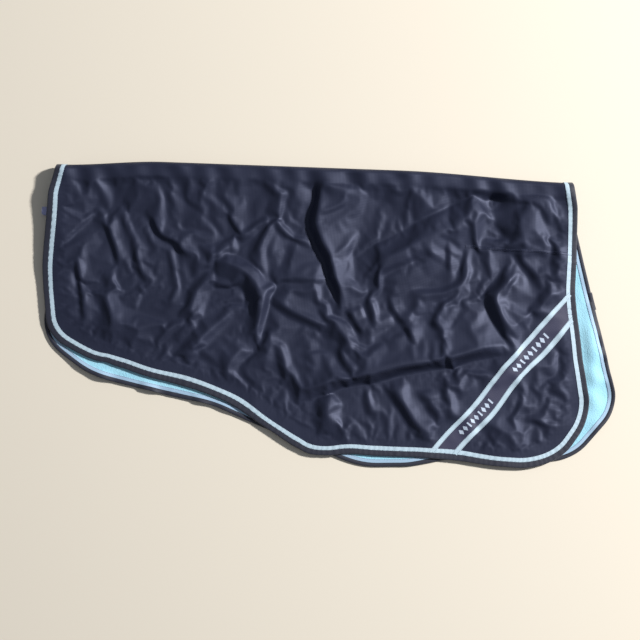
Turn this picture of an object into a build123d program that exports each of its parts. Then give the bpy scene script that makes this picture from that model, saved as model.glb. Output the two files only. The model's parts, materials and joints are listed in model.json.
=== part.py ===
from build123d import *
from dataclasses import dataclass
from functools import cache
from math import atan2, degrees, hypot
import os

# A fleece-lined waterproof rug of exercise-sheet cut, folded in half along its spine.
# The off (right) half lies on the ground with its lining up. The near (left) half is folded over
# it with its outer shell up. +X runs from the front of the spine to the rear, +Y points at the
# spine fold and +Z is up. Plan points below are (distance behind the front of the spine,
# distance below the spine), in millimetres.

# Overall size
SPINE_LENGTH = 1257
DROP_CENTRE = 355  # half of the deepest drop, so that the part is centred on Y
LENGTH_CENTRE = 669  # half way from the front loop to the rear corner
FOLD_RADIUS = 17  # outer radius of the fold along the spine
HEM_HEIGHT = 11.5  # height of the near half's outer face at the deepest drop
SPLIT_GAP = 0.3  # between the two halves at the crest of the fold

# The layers, as depths below the outer face
TAPE_DEPTH = 0.4
SHELL_DEPTH = 1.0
LINING_TOP = 1.4
LINING_DEPTH = 4.0
LAYER_GAP = 0.1
SIDE_GAP = 0.2

# The trims, as distances in from the edge
BINDING_WALL = 0.8
BINDING_WIDTH = 12
INNER_BINDING_WIDTH = 9
TRIM_WIDTH = 12
FACING_WIDTH = 13
SEAM_TAPE_WIDTH = 22

# The diagonal band on the rear lower corner: webbing between two trim tapes
BAND_LOW = (966, 674)
BAND_HIGH = (1259, 315)
WEBBING_WIDTH = 33
BAND_OVERRUN = 300

# The seam that shapes the rump, and the loops of the front edge
RUMP_SEAM_DROP = 178
RUMP_SEAM_LENGTH = 250
LOOP_DROP = 119
LOOP_WIDTH = 24
LOOP_LENGTH = 44
LOOP_REACH = 31  # how far the loop stands out in front of the spine's end
LOOP_THICKNESS = 1.0
LOOP_OPENING = 0.8
LOOP_CLEARANCE = 1.0  # below the near half's lining, which slopes down from the spine


# The edge of each half as (behind the front, below the spine, corner radius), from the rear end of
# the spine round to its front end. The off half lies flat, so its edge is the flat cut.
OFF_EDGE = (
    (SPINE_LENGTH, 0, 0),
    (1262, 75, 600),
    (1384, 544, 130),
    (1228, 706, 200),
    (757, 707, 400),
    (400, 561, 500),
    (95, 517, 150),
    (-17, 430, 110),
    (0, 0, 0),
)
# The near half is crumpled, so its edge is drawn in at the rear and wanders at the hem
NEAR_EDGE = (
    (SPINE_LENGTH, 0, 0),
    (1277, 225, 600),
    (1328, 570, 130),
    (1225, 712, 150),
    (640, 690, 200),
    (425, 560, 500),
    (100, 475, 150),
    (-8, 425, 60),
    (-24, 285, 600),
    (-19, 70, 100),
    (0, 0, 0),
)

PLAN = Plane((-LENGTH_CENTRE, DROP_CENTRE, 0))
SECTION = Plane.YZ.offset(-LENGTH_CENTRE - 100)
SECTION_LENGTH = 1600
FOLD_HEIGHT = 2 * FOLD_RADIUS
DEEPEST = 2 * DROP_CENTRE


def on_plan(points):
    """Turn (behind the front, below the spine, ...) into plan coordinates."""
    return [(point[0], -point[1]) for point in points]


@cache
def plan_face(edge, inset):
    """One half's outline, drawn in by inset at its three free edges but not at the spine."""
    radii = [radius for _, _, radius in edge[1:-1]]
    with BuildSketch() as face:
        with BuildLine():
            FilletPolyline(*on_plan(edge), radius=radii)
            mirror(about=Plane.XZ)
        make_face()
        if inset:
            offset(amount=-inset, kind=Kind.INTERSECTION)
        with Locations((SPINE_LENGTH / 2, 0)):
            Rectangle(2 * SPINE_LENGTH, DEEPEST * 2, align=(Align.CENTER, Align.MAX), mode=Mode.INTERSECT)
    return face.sketch


def off_section(top, bottom):
    """The off half's layer between two depths: flat on the ground, then a quarter turn up."""
    spine, crest = DROP_CENTRE, FOLD_RADIUS - SPLIT_GAP / 2
    bend = spine - FOLD_RADIUS
    with BuildSketch() as section:
        with Locations((bend, FOLD_RADIUS)):
            Circle(FOLD_RADIUS - top)
            Circle(FOLD_RADIUS - bottom, mode=Mode.SUBTRACT)
            Rectangle(FOLD_RADIUS, FOLD_RADIUS, align=(Align.MIN, Align.MAX), mode=Mode.INTERSECT)
        with Locations((bend, top)):
            Rectangle(DEEPEST + 50, bottom - top, align=(Align.MAX, Align.MIN))
        with Locations((bend, crest)):
            Rectangle(DEEPEST * 3, FOLD_HEIGHT, align=(Align.CENTER, Align.MIN), mode=Mode.SUBTRACT)
    return section.sketch


def near_section(top, bottom):
    """The near half's layer between two depths: a quarter turn over, then a long low arch."""
    bend = DROP_CENTRE - FOLD_RADIUS
    run = DEEPEST - FOLD_RADIUS
    fall = FOLD_HEIGHT - HEM_HEIGHT
    arch_radius = (run**2 + fall**2) / (2 * fall)
    arch_centre = FOLD_HEIGHT - arch_radius
    crest = FOLD_RADIUS + SPLIT_GAP / 2
    with BuildSketch() as turn:
        with Locations((bend, FOLD_RADIUS)):
            Circle(FOLD_RADIUS - top)
            Circle(FOLD_RADIUS - bottom, mode=Mode.SUBTRACT)
            Rectangle(FOLD_RADIUS, FOLD_RADIUS, align=(Align.MIN, Align.MIN), mode=Mode.INTERSECT)
        with Locations((bend, crest)):
            Rectangle(DEEPEST, FOLD_HEIGHT, align=(Align.CENTER, Align.MAX), mode=Mode.SUBTRACT)
    with BuildSketch() as section:
        with Locations((bend, arch_centre)):
            Circle(arch_radius - top)
            Circle(arch_radius - bottom, mode=Mode.SUBTRACT)
        with Locations((bend, 0)):
            Rectangle(DEEPEST + 50, FOLD_HEIGHT, align=(Align.MAX, Align.MIN), mode=Mode.INTERSECT)
        add(turn.sketch)
    return section.sketch


@dataclass
class Half:
    """One half of the rug: its name, its edge and the shape of its layers."""

    name: str
    edge: tuple
    section: object

    def layer(self, top, bottom, plan):
        """The solid between two depths that lies inside a plan face."""
        profile = self.section(top, bottom)
        with BuildPart() as solid:
            with BuildSketch(SECTION):
                add(profile)
            extrude(amount=SECTION_LENGTH)
            with BuildSketch(PLAN.offset(-10)):
                add(plan)
            extrude(amount=FOLD_HEIGHT + 20, mode=Mode.INTERSECT)
        return solid.part

    def ring(self, outer, inner):
        """The plan face of a strip along the free edges, between two distances from the edge."""
        whole, middle = plan_face(self.edge, outer), plan_face(self.edge, inner)
        with BuildSketch() as face:
            add(whole)
            add(middle, mode=Mode.SUBTRACT)
        return face.sketch

    def diagonal(self, offset_across, width, inset):
        """The plan face of a strip that runs across the rear lower corner."""
        room = plan_face(self.edge, inset)
        low, high = on_plan([BAND_LOW, BAND_HIGH])
        run = (high[0] - low[0], high[1] - low[1])
        length = hypot(*run) + BAND_OVERRUN
        middle = ((low[0] + high[0]) / 2, (low[1] + high[1]) / 2)
        turn = degrees(atan2(run[1], run[0]))
        with BuildSketch() as face:
            with Locations(Location((middle[0], middle[1], 0), (0, 0, turn))):
                with Locations((0, offset_across)):
                    Rectangle(length, width)
            add(room, mode=Mode.INTERSECT)
        return face.sketch

    def rump_strip(self, width):
        """The plan face of a strip along the seam that shapes the rump."""
        room = plan_face(self.edge, BINDING_WALL + SIDE_GAP)
        with BuildSketch() as face:
            with Locations((SPINE_LENGTH - RUMP_SEAM_LENGTH, -RUMP_SEAM_DROP)):
                Rectangle(RUMP_SEAM_LENGTH * 2, width, align=(Align.MIN, Align.CENTER))
            add(room, mode=Mode.INTERSECT)
        return face.sketch


def save(part, name):
    """Label a finished piece and write its STEP file."""
    part.label = name
    export_step(part, f"parts/{name}.step")


os.makedirs("parts", exist_ok=True)
TRIM_INNER = BINDING_WIDTH + TRIM_WIDTH
FACING_INNER = INNER_BINDING_WIDTH + FACING_WIDTH
BAND_TAPE_SHIFT = (WEBBING_WIDTH + TRIM_WIDTH) / 2
halves = [Half("off", OFF_EDGE, off_section), Half("near", NEAR_EDGE, near_section)]

for half in halves:
    pocket_depth = TAPE_DEPTH + LAYER_GAP
    inner_leg_top = LINING_DEPTH - TAPE_DEPTH
    cloth = plan_face(half.edge, BINDING_WALL + SIDE_GAP)
    shell_edge = half.ring(0, TRIM_INNER + SIDE_GAP)
    lining_edge = half.ring(0, FACING_INNER + SIDE_GAP)
    band = half.diagonal(0, WEBBING_WIDTH + 2 * (TRIM_WIDTH + SIDE_GAP), 0)

    # Outer shell: coated woven cloth, with shallow pockets for all that is sewn on flush
    blank = half.layer(0, SHELL_DEPTH, cloth)
    pockets = [half.layer(0, pocket_depth, face) for face in (shell_edge, band)]
    with BuildPart() as outer_shell:
        add(blank)
        add(pockets, mode=Mode.SUBTRACT)
    save(outer_shell.part, f"{half.name}_outer_shell")

    # Fleece lining, thinned where the binding's inner leg and the facing tape lie on it
    blank = half.layer(LINING_TOP, LINING_DEPTH, cloth)
    step = half.layer(inner_leg_top - LAYER_GAP, LINING_DEPTH, lining_edge)
    with BuildPart() as fleece_lining:
        add(blank)
        add(step, mode=Mode.SUBTRACT)
    save(fleece_lining.part, f"{half.name}_fleece_lining")

    # Edge binding: one tape folded round the raw edge, with a longer leg outside than inside
    wall = half.layer(0, LINING_DEPTH, half.ring(0, BINDING_WALL))
    outer_leg = half.layer(0, TAPE_DEPTH, half.ring(0, BINDING_WIDTH))
    inner_leg = half.layer(inner_leg_top, LINING_DEPTH, half.ring(0, INNER_BINDING_WIDTH))
    with BuildPart() as edge_binding:
        add([wall, outer_leg, inner_leg])
    save(edge_binding.part, f"{half.name}_edge_binding")

    # Pale trim tape just inside the binding on the outer face, and pale facing tape on the inner
    trim_tape = half.layer(0, TAPE_DEPTH, half.ring(BINDING_WIDTH + SIDE_GAP, TRIM_INNER))
    save(trim_tape, f"{half.name}_trim_tape")
    facing = half.ring(INNER_BINDING_WIDTH + SIDE_GAP, FACING_INNER)
    save(half.layer(inner_leg_top, LINING_DEPTH, facing), f"{half.name}_facing_tape")

    # Diagonal band: navy webbing with a patterned weave, between two lengths of trim tape
    inset = TRIM_INNER + SIDE_GAP
    webbing = half.layer(0, TAPE_DEPTH, half.diagonal(0, WEBBING_WIDTH - SIDE_GAP, inset))
    save(webbing, f"{half.name}_diagonal_webbing")
    tapes = [
        half.layer(0, TAPE_DEPTH, half.diagonal(shift, TRIM_WIDTH - SIDE_GAP, inset))
        for shift in (-BAND_TAPE_SHIFT, BAND_TAPE_SHIFT)
    ]
    with BuildPart() as diagonal_tapes:
        add(tapes)
    save(diagonal_tapes.part, f"{half.name}_diagonal_tapes")

    # Sealing tape behind the rump seam, between the shell and the lining
    seal = half.layer(SHELL_DEPTH + LAYER_GAP, LINING_TOP - LAYER_GAP, half.rump_strip(SEAM_TAPE_WIDTH))
    save(seal, f"{half.name}_rump_seam_tape")

# Front loops: flat webbing folded back on itself and sewn to the inside of the front edge
loop_height = 2 * LOOP_THICKNESS + LOOP_OPENING
loop_floors = {
    "off": LINING_DEPTH + SIDE_GAP,
    "near": FOLD_HEIGHT - LINING_DEPTH - loop_height - LOOP_CLEARANCE,
}
for name, floor in loop_floors.items():
    with BuildPart() as front_loop:
        with BuildSketch(Plane.XZ.offset(LOOP_DROP + LOOP_WIDTH / 2 - DROP_CENTRE)):
            with Locations((-LOOP_REACH - LENGTH_CENTRE + LOOP_LENGTH / 2, floor + loop_height / 2)):
                SlotOverall(LOOP_LENGTH, loop_height)
                SlotOverall(LOOP_LENGTH - 2 * LOOP_THICKNESS, LOOP_OPENING, mode=Mode.SUBTRACT)
        extrude(amount=-LOOP_WIDTH)
    save(front_loop.part, f"{name}_front_loop")
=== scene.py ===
"""Looks of a folded horse exercise rug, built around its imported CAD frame.

The rug lies folded along its spine with its outer side out: the off half underneath, the near half on top.
The classes work in the rug's own lay, in millimetres: `behind` runs along the spine from the front edge
towards the tail, and `across` is the distance over the cloth from the crest of the fold, positive on the
near half and negative on the off half. `Cloth.place` turns lay coordinates into metres in the row frame.
"""

import json
import logging
import math
from dataclasses import dataclass, field
from enum import Enum

import bpy
import numpy as np
from mathutils import Matrix, Vector


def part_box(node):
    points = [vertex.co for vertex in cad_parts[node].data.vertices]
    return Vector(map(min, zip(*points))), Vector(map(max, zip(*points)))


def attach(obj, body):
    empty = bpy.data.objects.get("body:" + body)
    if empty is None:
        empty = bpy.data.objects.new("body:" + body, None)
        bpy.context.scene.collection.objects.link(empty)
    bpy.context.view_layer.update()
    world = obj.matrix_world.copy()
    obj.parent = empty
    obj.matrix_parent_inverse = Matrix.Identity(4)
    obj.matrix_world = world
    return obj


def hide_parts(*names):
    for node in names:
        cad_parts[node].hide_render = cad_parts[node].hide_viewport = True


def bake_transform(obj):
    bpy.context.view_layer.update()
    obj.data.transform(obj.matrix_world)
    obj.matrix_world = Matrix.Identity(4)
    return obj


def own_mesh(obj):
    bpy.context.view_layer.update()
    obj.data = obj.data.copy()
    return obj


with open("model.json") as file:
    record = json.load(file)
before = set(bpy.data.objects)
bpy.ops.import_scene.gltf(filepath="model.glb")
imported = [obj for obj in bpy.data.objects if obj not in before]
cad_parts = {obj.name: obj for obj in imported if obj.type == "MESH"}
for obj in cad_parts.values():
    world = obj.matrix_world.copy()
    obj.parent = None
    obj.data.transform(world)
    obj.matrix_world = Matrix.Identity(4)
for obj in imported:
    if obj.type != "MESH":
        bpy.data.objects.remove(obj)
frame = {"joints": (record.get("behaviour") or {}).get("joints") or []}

LOG = logging.getLogger("rug")
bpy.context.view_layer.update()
MM = 0.001
Array = np.ndarray
Tree, Node, Socket = bpy.types.NodeTree, bpy.types.Node, bpy.types.NodeSocket
Material, Piece = bpy.types.Material, bpy.types.Object


# ------------------------------------------------
# Colours and node helpers
# ------------------------------------------------
WAVE_PERIOD = 2 * math.pi / 20  # metres between bands of a Wave texture at scale 1


def linear(hex_colour: str) -> tuple[float, float, float, float]:
    """Turns an sRGB hex colour into linear RGBA.

    Args:
        hex_colour: six hex digits after a hash.

    Returns:
        Red, green, blue and an alpha of 1.
    """
    shares = [int(hex_colour[i : i + 2], 16) / 255 for i in (1, 3, 5)]
    red, green, blue = (s / 12.92 if s <= 0.04045 else ((s + 0.055) / 1.055) ** 2.4 for s in shares)
    return (red, green, blue, 1.0)


def add_node(tree: Tree, kind: str, feeds: dict | None = None, **settings) -> Node:
    """Adds one node, with its settings, its input values and the links that feed it.

    Args:
        tree: the node tree that gets the node.
        kind: the node's type name.
        feeds: for each input, by name or number, a value or the output socket that feeds it.
        settings: the node's own properties.

    Returns:
        The node.
    """
    made = tree.nodes.new(kind)
    for name, value in settings.items():
        setattr(made, name, value)
    for socket, value in (feeds or {}).items():
        if isinstance(value, Socket):
            tree.links.new(value, made.inputs[socket])
        else:
            made.inputs[socket].default_value = value
    return made


# ------------------------------------------------
# The cloth's lay: where the folded rug is, and the relief of its creases
# ------------------------------------------------
class Part(Enum):
    """A stretch of the rug's edge, by what it rides on."""

    NEAR = "near"
    FRONT_FOLD = "front_fold"
    OFF = "off"
    TAIL_FOLD = "tail_fold"


class Side(Enum):
    """A half of the rug, with the sign of its distance across from the crest of the fold."""

    NEAR = 1
    OFF = -1

    @property
    def label(self) -> str:
        """The word that starts the half's piece names."""
        return self.name.lower()

    @property
    def body(self) -> str:
        """The CAD body that the half rides on."""
        return f"{self.label}_side"

    @property
    def part(self) -> Part:
        """The half's stretch of the edge."""
        return Part.NEAR if self is Side.NEAR else Part.OFF


@dataclass(frozen=True)
class Corner:
    """A corner of a panel's cut edge: its place in plan from the front of the spine, and its rounding, mm."""

    behind: float
    below: float
    radius: float


# The cut of both halves, from the tail end of the spine round the hem to its front end.
NEAR_CUT = [
    Corner(1263, 0, 0),
    Corner(1275, 62, 100),
    Corner(1276, 270, 400),
    Corner(1291, 430, 300),
    Corner(1322, 572, 120),
    Corner(1225, 712, 150),
    Corner(900, 684, 400),
    Corner(735, 684, 200),
    Corner(660, 701, 120),
    Corner(425, 560, 500),
    Corner(105, 478, 150),
    Corner(-4, 425, 95),
    Corner(-24, 285, 600),
    Corner(-19, 70, 100),
    Corner(0, 0, 0),
]
OFF_CUT = [
    Corner(1263, 0, 0),
    Corner(1267, 75, 500),
    Corner(1386, 550, 100),
    Corner(1282, 672, 130),
    Corner(1180, 694, 200),
    Corner(985, 686, 300),
    Corner(880, 708, 200),
    Corner(757, 713, 250),
    Corner(400, 577, 300),
    Corner(105, 519, 200),
    Corner(-17, 430, 110),
    Corner(0, 0, 0),
]


# the ends of the diagonal band's centre line, in plan
BAND_LOW = (966.0, 674.0)
BAND_HIGH = (1259.0, 315.0)


@dataclass(frozen=True)
class Fold:
    """A ridge or a furrow in the near half, drawn along its crest.

    Its path is (behind, below) points in mm, its height is in mm and negative for a furrow, and left and
    right are its widths on the two sides of someone who walks along the path with the spine at the top.
    """

    path: tuple[tuple[float, float], ...]
    height: float
    left: float
    right: float


FOLDS = [
    # the long ridge over the flank and the spike at its end
    Fold(((585, 548), (700, 510), (800, 480), (900, 457), (1000, 434), (1080, 410), (1150, 396)), 23, 60, 13),
    Fold(((1150, 398), (1112, 355), (1082, 298), (1105, 262), (1142, 222)), 15, 13, 60),
    # the hollow triangle behind the croup
    Fold(((1118, 190), (1135, 130), (1165, 85), (1225, 46)), 18, 36, 30),
    Fold(((1040, 16), (1120, 30), (1222, 46)), 6, 25, 14),
    Fold(((1062, 30), (1076, 100), (1094, 175)), -24, 26, 24),
    # the deep fold that drops from the spine, and its fork
    Fold(
        ((657, 15), (649, 80), (640, 130), (655, 175), (676, 215), (690, 265), (706, 300), (724, 338)),
        14, 50, 10,
    ),
    Fold(((612, 140), (577, 180), (565, 222), (546, 264)), -6, 9, 14),
    Fold(((724, 330), (742, 365), (768, 392)), 5, 14, 7),
    # the broad ridge that climbs towards the croup
    Fold(
        ((748, 276), (800, 228), (850, 203), (905, 168), (960, 137), (1020, 105), (1062, 90), (1112, 78)),
        18, 22, 42,
    ),
    Fold(((790, 264), (850, 238), (890, 212), (917, 186)), -4.5, 6, 7),
    Fold(((903, 164), (914, 190), (945, 206), (980, 228)), 4, 9, 6),
    Fold(((1008, 190), (1008, 240), (986, 270), (940, 290), (865, 306)), 6, 16, 8),
    Fold(((712, 190), (742, 225), (730, 285)), -12, 26, 26),
    # the flat band in the middle
    Fold(((530, 272), (600, 270), (668, 268)), 7, 20, 14),
    Fold(((545, 300), (610, 300), (668, 299)), 5, 10, 22),
    # the rim of the bowl
    Fold(((368, 236), (430, 240), (472, 262), (500, 290), (505, 335), (488, 385)), 13, 12, 16),
    Fold(((430, 290), (440, 335)), -12, 36, 36),
    Fold(((532, 268), (522, 320), (512, 365), (494, 420)), 8, 8, 16),
    Fold(((540, 305), (575, 340), (625, 362), (670, 385), (700, 430)), 6, 18, 9),
    # the fan below the withers
    Fold(((532, 126), (490, 150), (445, 182)), 5, 7, 6),
    Fold(((528, 130), (512, 180), (494, 226)), 5, 8, 7),
    Fold(((538, 128), (560, 155), (580, 186)), 4, 7, 7),
    Fold(((370, 232), (420, 205), (450, 190)), 6, 12, 8),
    Fold(((552, 60), (545, 100), (536, 126)), 4, 8, 12),
    # creases over the shoulder
    Fold(((232, 126), (262, 174), (300, 198), (330, 238)), 5, 12, 6),
    Fold(((55, 222), (72, 300), (80, 350), (83, 402)), 5, 14, 5),
    Fold(((118, 130), (140, 180), (152, 205), (165, 248)), 5, 14, 6),
    Fold(((200, 170), (205, 230), (225, 270), (262, 276)), 4, 12, 7),
    Fold(((150, 250), (138, 320), (150, 380), (138, 440)), 6, 14, 10),
    Fold(((30, 240), (55, 262), (20, 300)), 3, 12, 8),
    # creases behind the elbow
    Fold(((445, 345), (390, 398), (355, 440), (325, 492)), 7, 10, 13),
    Fold(((390, 266), (352, 308), (345, 345), (330, 382)), 6, 9, 10),
    Fold(((480, 420), (440, 470), (430, 520)), 6, 12, 12),
    # creases along the belly
    Fold(((700, 535), (668, 600), (690, 655)), 7, 16, 12),
    Fold(((712, 606), (750, 634), (800, 664)), 5, 12, 8),
    Fold(((560, 410), (575, 460), (590, 510)), 4, 9, 9),
    Fold(((630, 400), (640, 450), (650, 500)), 3, 9, 9),
    Fold(((700, 420), (722, 462), (748, 485)), 6, 12, 8),
    Fold(((650, 300), (700, 390), (760, 450), (800, 470)), 5, 18, 10),
    Fold(((830, 505), (868, 560), (905, 612), (955, 640)), 7, 18, 10),
    Fold(((905, 520), (935, 560), (965, 600)), 5, 10, 8),
    Fold(((962, 505), (972, 555), (990, 602)), 5, 10, 8),
    Fold(((770, 520), (782, 560), (790, 590)), 5, 12, 8),
    # the small zigzags of the flank
    Fold(((770, 300), (785, 330), (790, 372)), 6, 8, 8),
    Fold(((825, 300), (845, 340), (870, 368), (895, 420)), 5, 12, 6),
    Fold(((905, 310), (880, 345), (868, 366)), 5, 9, 7),
    Fold(((960, 300), (945, 345), (940, 380)), 6, 9, 7),
    Fold(((980, 315), (965, 350), (955, 378)), 5, 8, 7),
    Fold(((925, 350), (945, 372), (962, 392)), 5, 8, 7),
    Fold(((760, 395), (810, 360), (850, 345)), 6, 14, 9),
    # creases of the rump
    Fold(((1140, 170), (1150, 205), (1175, 230), (1195, 250)), 5, 12, 8),
    Fold(((1180, 130), (1195, 160), (1185, 190)), 6, 10, 14),
    Fold(((1225, 150), (1232, 200), (1228, 250)), 6, 12, 9),
    Fold(((1090, 300), (1130, 330), (1170, 350)), 3, 9, 9),
    Fold(((1230, 262), (1200, 300), (1170, 340)), 5, 10, 10),
    Fold(((1232, 372), (1262, 420), (1256, 480), (1215, 530)), 7, 26, 12),
    Fold(((1290, 575), (1245, 596), (1198, 612)), 5, 12, 8),
    Fold(((1192, 570), (1197, 610), (1190, 650)), 3, 9, 9),
]


def ease(share: Array) -> Array:
    """Smooth step of a share, which is first held between 0 and 1."""
    held = np.clip(share, 0, 1)
    return held * held * (3 - 2 * held)


def rise(value: Array, start: float, length: float) -> Array:
    """Smooth step from 0 at the start to 1 a length further on."""
    return ease((value - start) / length)


def smooth_line(points: tuple[tuple[float, float], ...], steps: int = 6) -> Array:
    """Rounds a drawn path with a Catmull-Rom spline.

    Args:
        points: the path's points.
        steps: how many pieces each span gets.

    Returns:
        The smoothed points, as rows.
    """
    path = np.array(points, float)
    ends = np.vstack([2 * path[0] - path[1], path, 2 * path[-1] - path[-2]])
    t = np.linspace(0, 1, steps, endpoint=False)[:, None]
    spans = []
    for a, b, c, d in zip(ends, ends[1:], ends[2:], ends[3:]):
        cubic = 2 * b + (c - a) * t + (2 * a - 5 * b + 4 * c - d) * t**2 + (3 * b - a - 3 * c + d) * t**3
        spans.append(cubic / 2)
    return np.vstack([*spans, path[-1:]])


@dataclass(frozen=True)
class Raster:
    """A regular net over one half's plan, in mm, whose values are read back between its points."""

    low: tuple[float, float] = (-50.0, -10.0)
    high: tuple[float, float] = (1420.0, 780.0)
    step: float = 1.6

    def points(self) -> tuple[Array, Array]:
        """The net's `behind` and `below` coordinates."""
        behind = np.arange(self.low[0], self.high[0], self.step)
        below = np.arange(self.low[1], self.high[1], self.step)
        return np.meshgrid(behind, below)

    def read(self, values: Array, behind: Array, below: Array) -> Array:
        """Reads the net between its points.

        Args:
            values: one value for each point of the net.
            behind: where to read, along the spine.
            below: where to read, down from the spine.

        Returns:
            The values there, by bilinear interpolation.
        """
        column = np.clip((behind - self.low[0]) / self.step, 0, values.shape[1] - 1.001)
        row = np.clip((below - self.low[1]) / self.step, 0, values.shape[0] - 1.001)
        i, j = column.astype(int), row.astype(int)
        s, t = column - i, row - j
        upper = values[j, i] * (1 - s) + values[j, i + 1] * s
        lower = values[j + 1, i] * (1 - s) + values[j + 1, i + 1] * s
        return upper * (1 - t) + lower * t


def soften(values: Array, times: int = 1) -> Array:
    """Blurs a net with a 1-2-1 kernel.

    Args:
        values: one value for each point of the net.
        times: how often the kernel is applied.

    Returns:
        The blurred values.
    """
    for _ in range(times):
        padded = np.pad(values, 1, mode="edge")
        values = (padded[:-2] + 2 * padded[1:-1] + padded[2:]) / 4
        values = (values[:, :-2] + 2 * values[:, 1:-1] + values[:, 2:]) / 4
    return values


def swell(behind: Array, below: Array, length: float, seed: int, waves: int = 10) -> Array:
    """A smooth random swell, as the sum of plane waves.

    Args:
        behind: where, along the spine.
        below: where, down from the spine.
        length: the typical wave length.
        seed: makes the draw repeatable.
        waves: how many waves are summed.

    Returns:
        Heights of about -1 to 1.
    """
    draw = np.random.default_rng(seed)
    total = np.zeros_like(behind)
    for _ in range(waves):
        turn, reach, phase = draw.uniform(0, 2 * math.pi), length * draw.uniform(0.7, 1.6), draw.uniform(0, 7)
        total += np.sin(2 * math.pi * (behind * math.cos(turn) + below * math.sin(turn)) / reach + phase)
    return total / math.sqrt(waves / 2)


def facets(behind: Array, below: Array, cell: float, seed: int, turn: float, stretch: float) -> Array:
    """Random heights on a net of triangles, flat between its lines, as crumpled cloth is between its creases.

    Args:
        behind: where, along the spine.
        below: where, down from the spine.
        cell: the side of a triangle.
        seed: makes the draw repeatable.
        turn: how far the net is turned, in radians.
        stretch: how much longer the triangles are along the turned axis.

    Returns:
        Heights of -1 to 1.
    """
    rows, columns = 61, 67
    table = np.random.default_rng(seed).uniform(-1, 1, (rows, columns))
    a = (behind * math.cos(turn) + below * math.sin(turn)) / (cell * stretch)
    b = (-behind * math.sin(turn) + below * math.cos(turn)) / cell
    skew = (a + b) * (math.sqrt(3) - 1) / 2
    a, b = a + skew, b + skew
    i, j = np.floor(a).astype(int), np.floor(b).astype(int)
    a, b = a - i, b - j
    first, last = table[i % rows, j % columns], table[(i + 1) % rows, (j + 1) % columns]
    along, over = table[(i + 1) % rows, j % columns], table[i % rows, (j + 1) % columns]
    lower = first + a * (along - first) + b * (last - along)
    upper = first + b * (over - first) + a * (last - over)
    return np.where(a > b, lower, upper)


@dataclass(frozen=True)
class Patch:
    """A place where the cloth is more crumpled: its middle and reach, in mm, and its density."""

    behind: float
    below: float
    reach: float
    density: float


PATCHES = [
    Patch(240, 230, 110, 0.9),
    Patch(430, 210, 90, 0.8),
    Patch(330, 380, 110, 0.8),
    Patch(560, 170, 80, 0.9),
    Patch(860, 340, 130, 1.0),
    Patch(960, 200, 90, 0.7),
    Patch(1180, 230, 90, 0.8),
    Patch(900, 560, 120, 0.9),
    Patch(690, 600, 90, 0.7),
    Patch(600, 420, 100, 0.5),
    Patch(1210, 560, 90, 0.6),
    Patch(100, 330, 90, 0.5),
]


@dataclass(frozen=True)
class FacetLayer:
    """One size of facets: the side of a triangle and its height, in mm, and how its net is drawn."""

    cell: float
    height: float
    seed: int
    turn: float
    stretch: float
    least: float  # how strong it is where the cloth is calm
    busy: float  # how much stronger it is where the cloth is busy


FACET_LAYERS = [
    FacetLayer(118, 5.5, 21, 1.2, 1.25, 1.0, 0.0),
    FacetLayer(61, 2.8, 22, 0.9, 1.3, 0.5, 1.0),
    FacetLayer(33, 1.2, 23, 1.5, 1.5, 0.25, 1.0),
]


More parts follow.
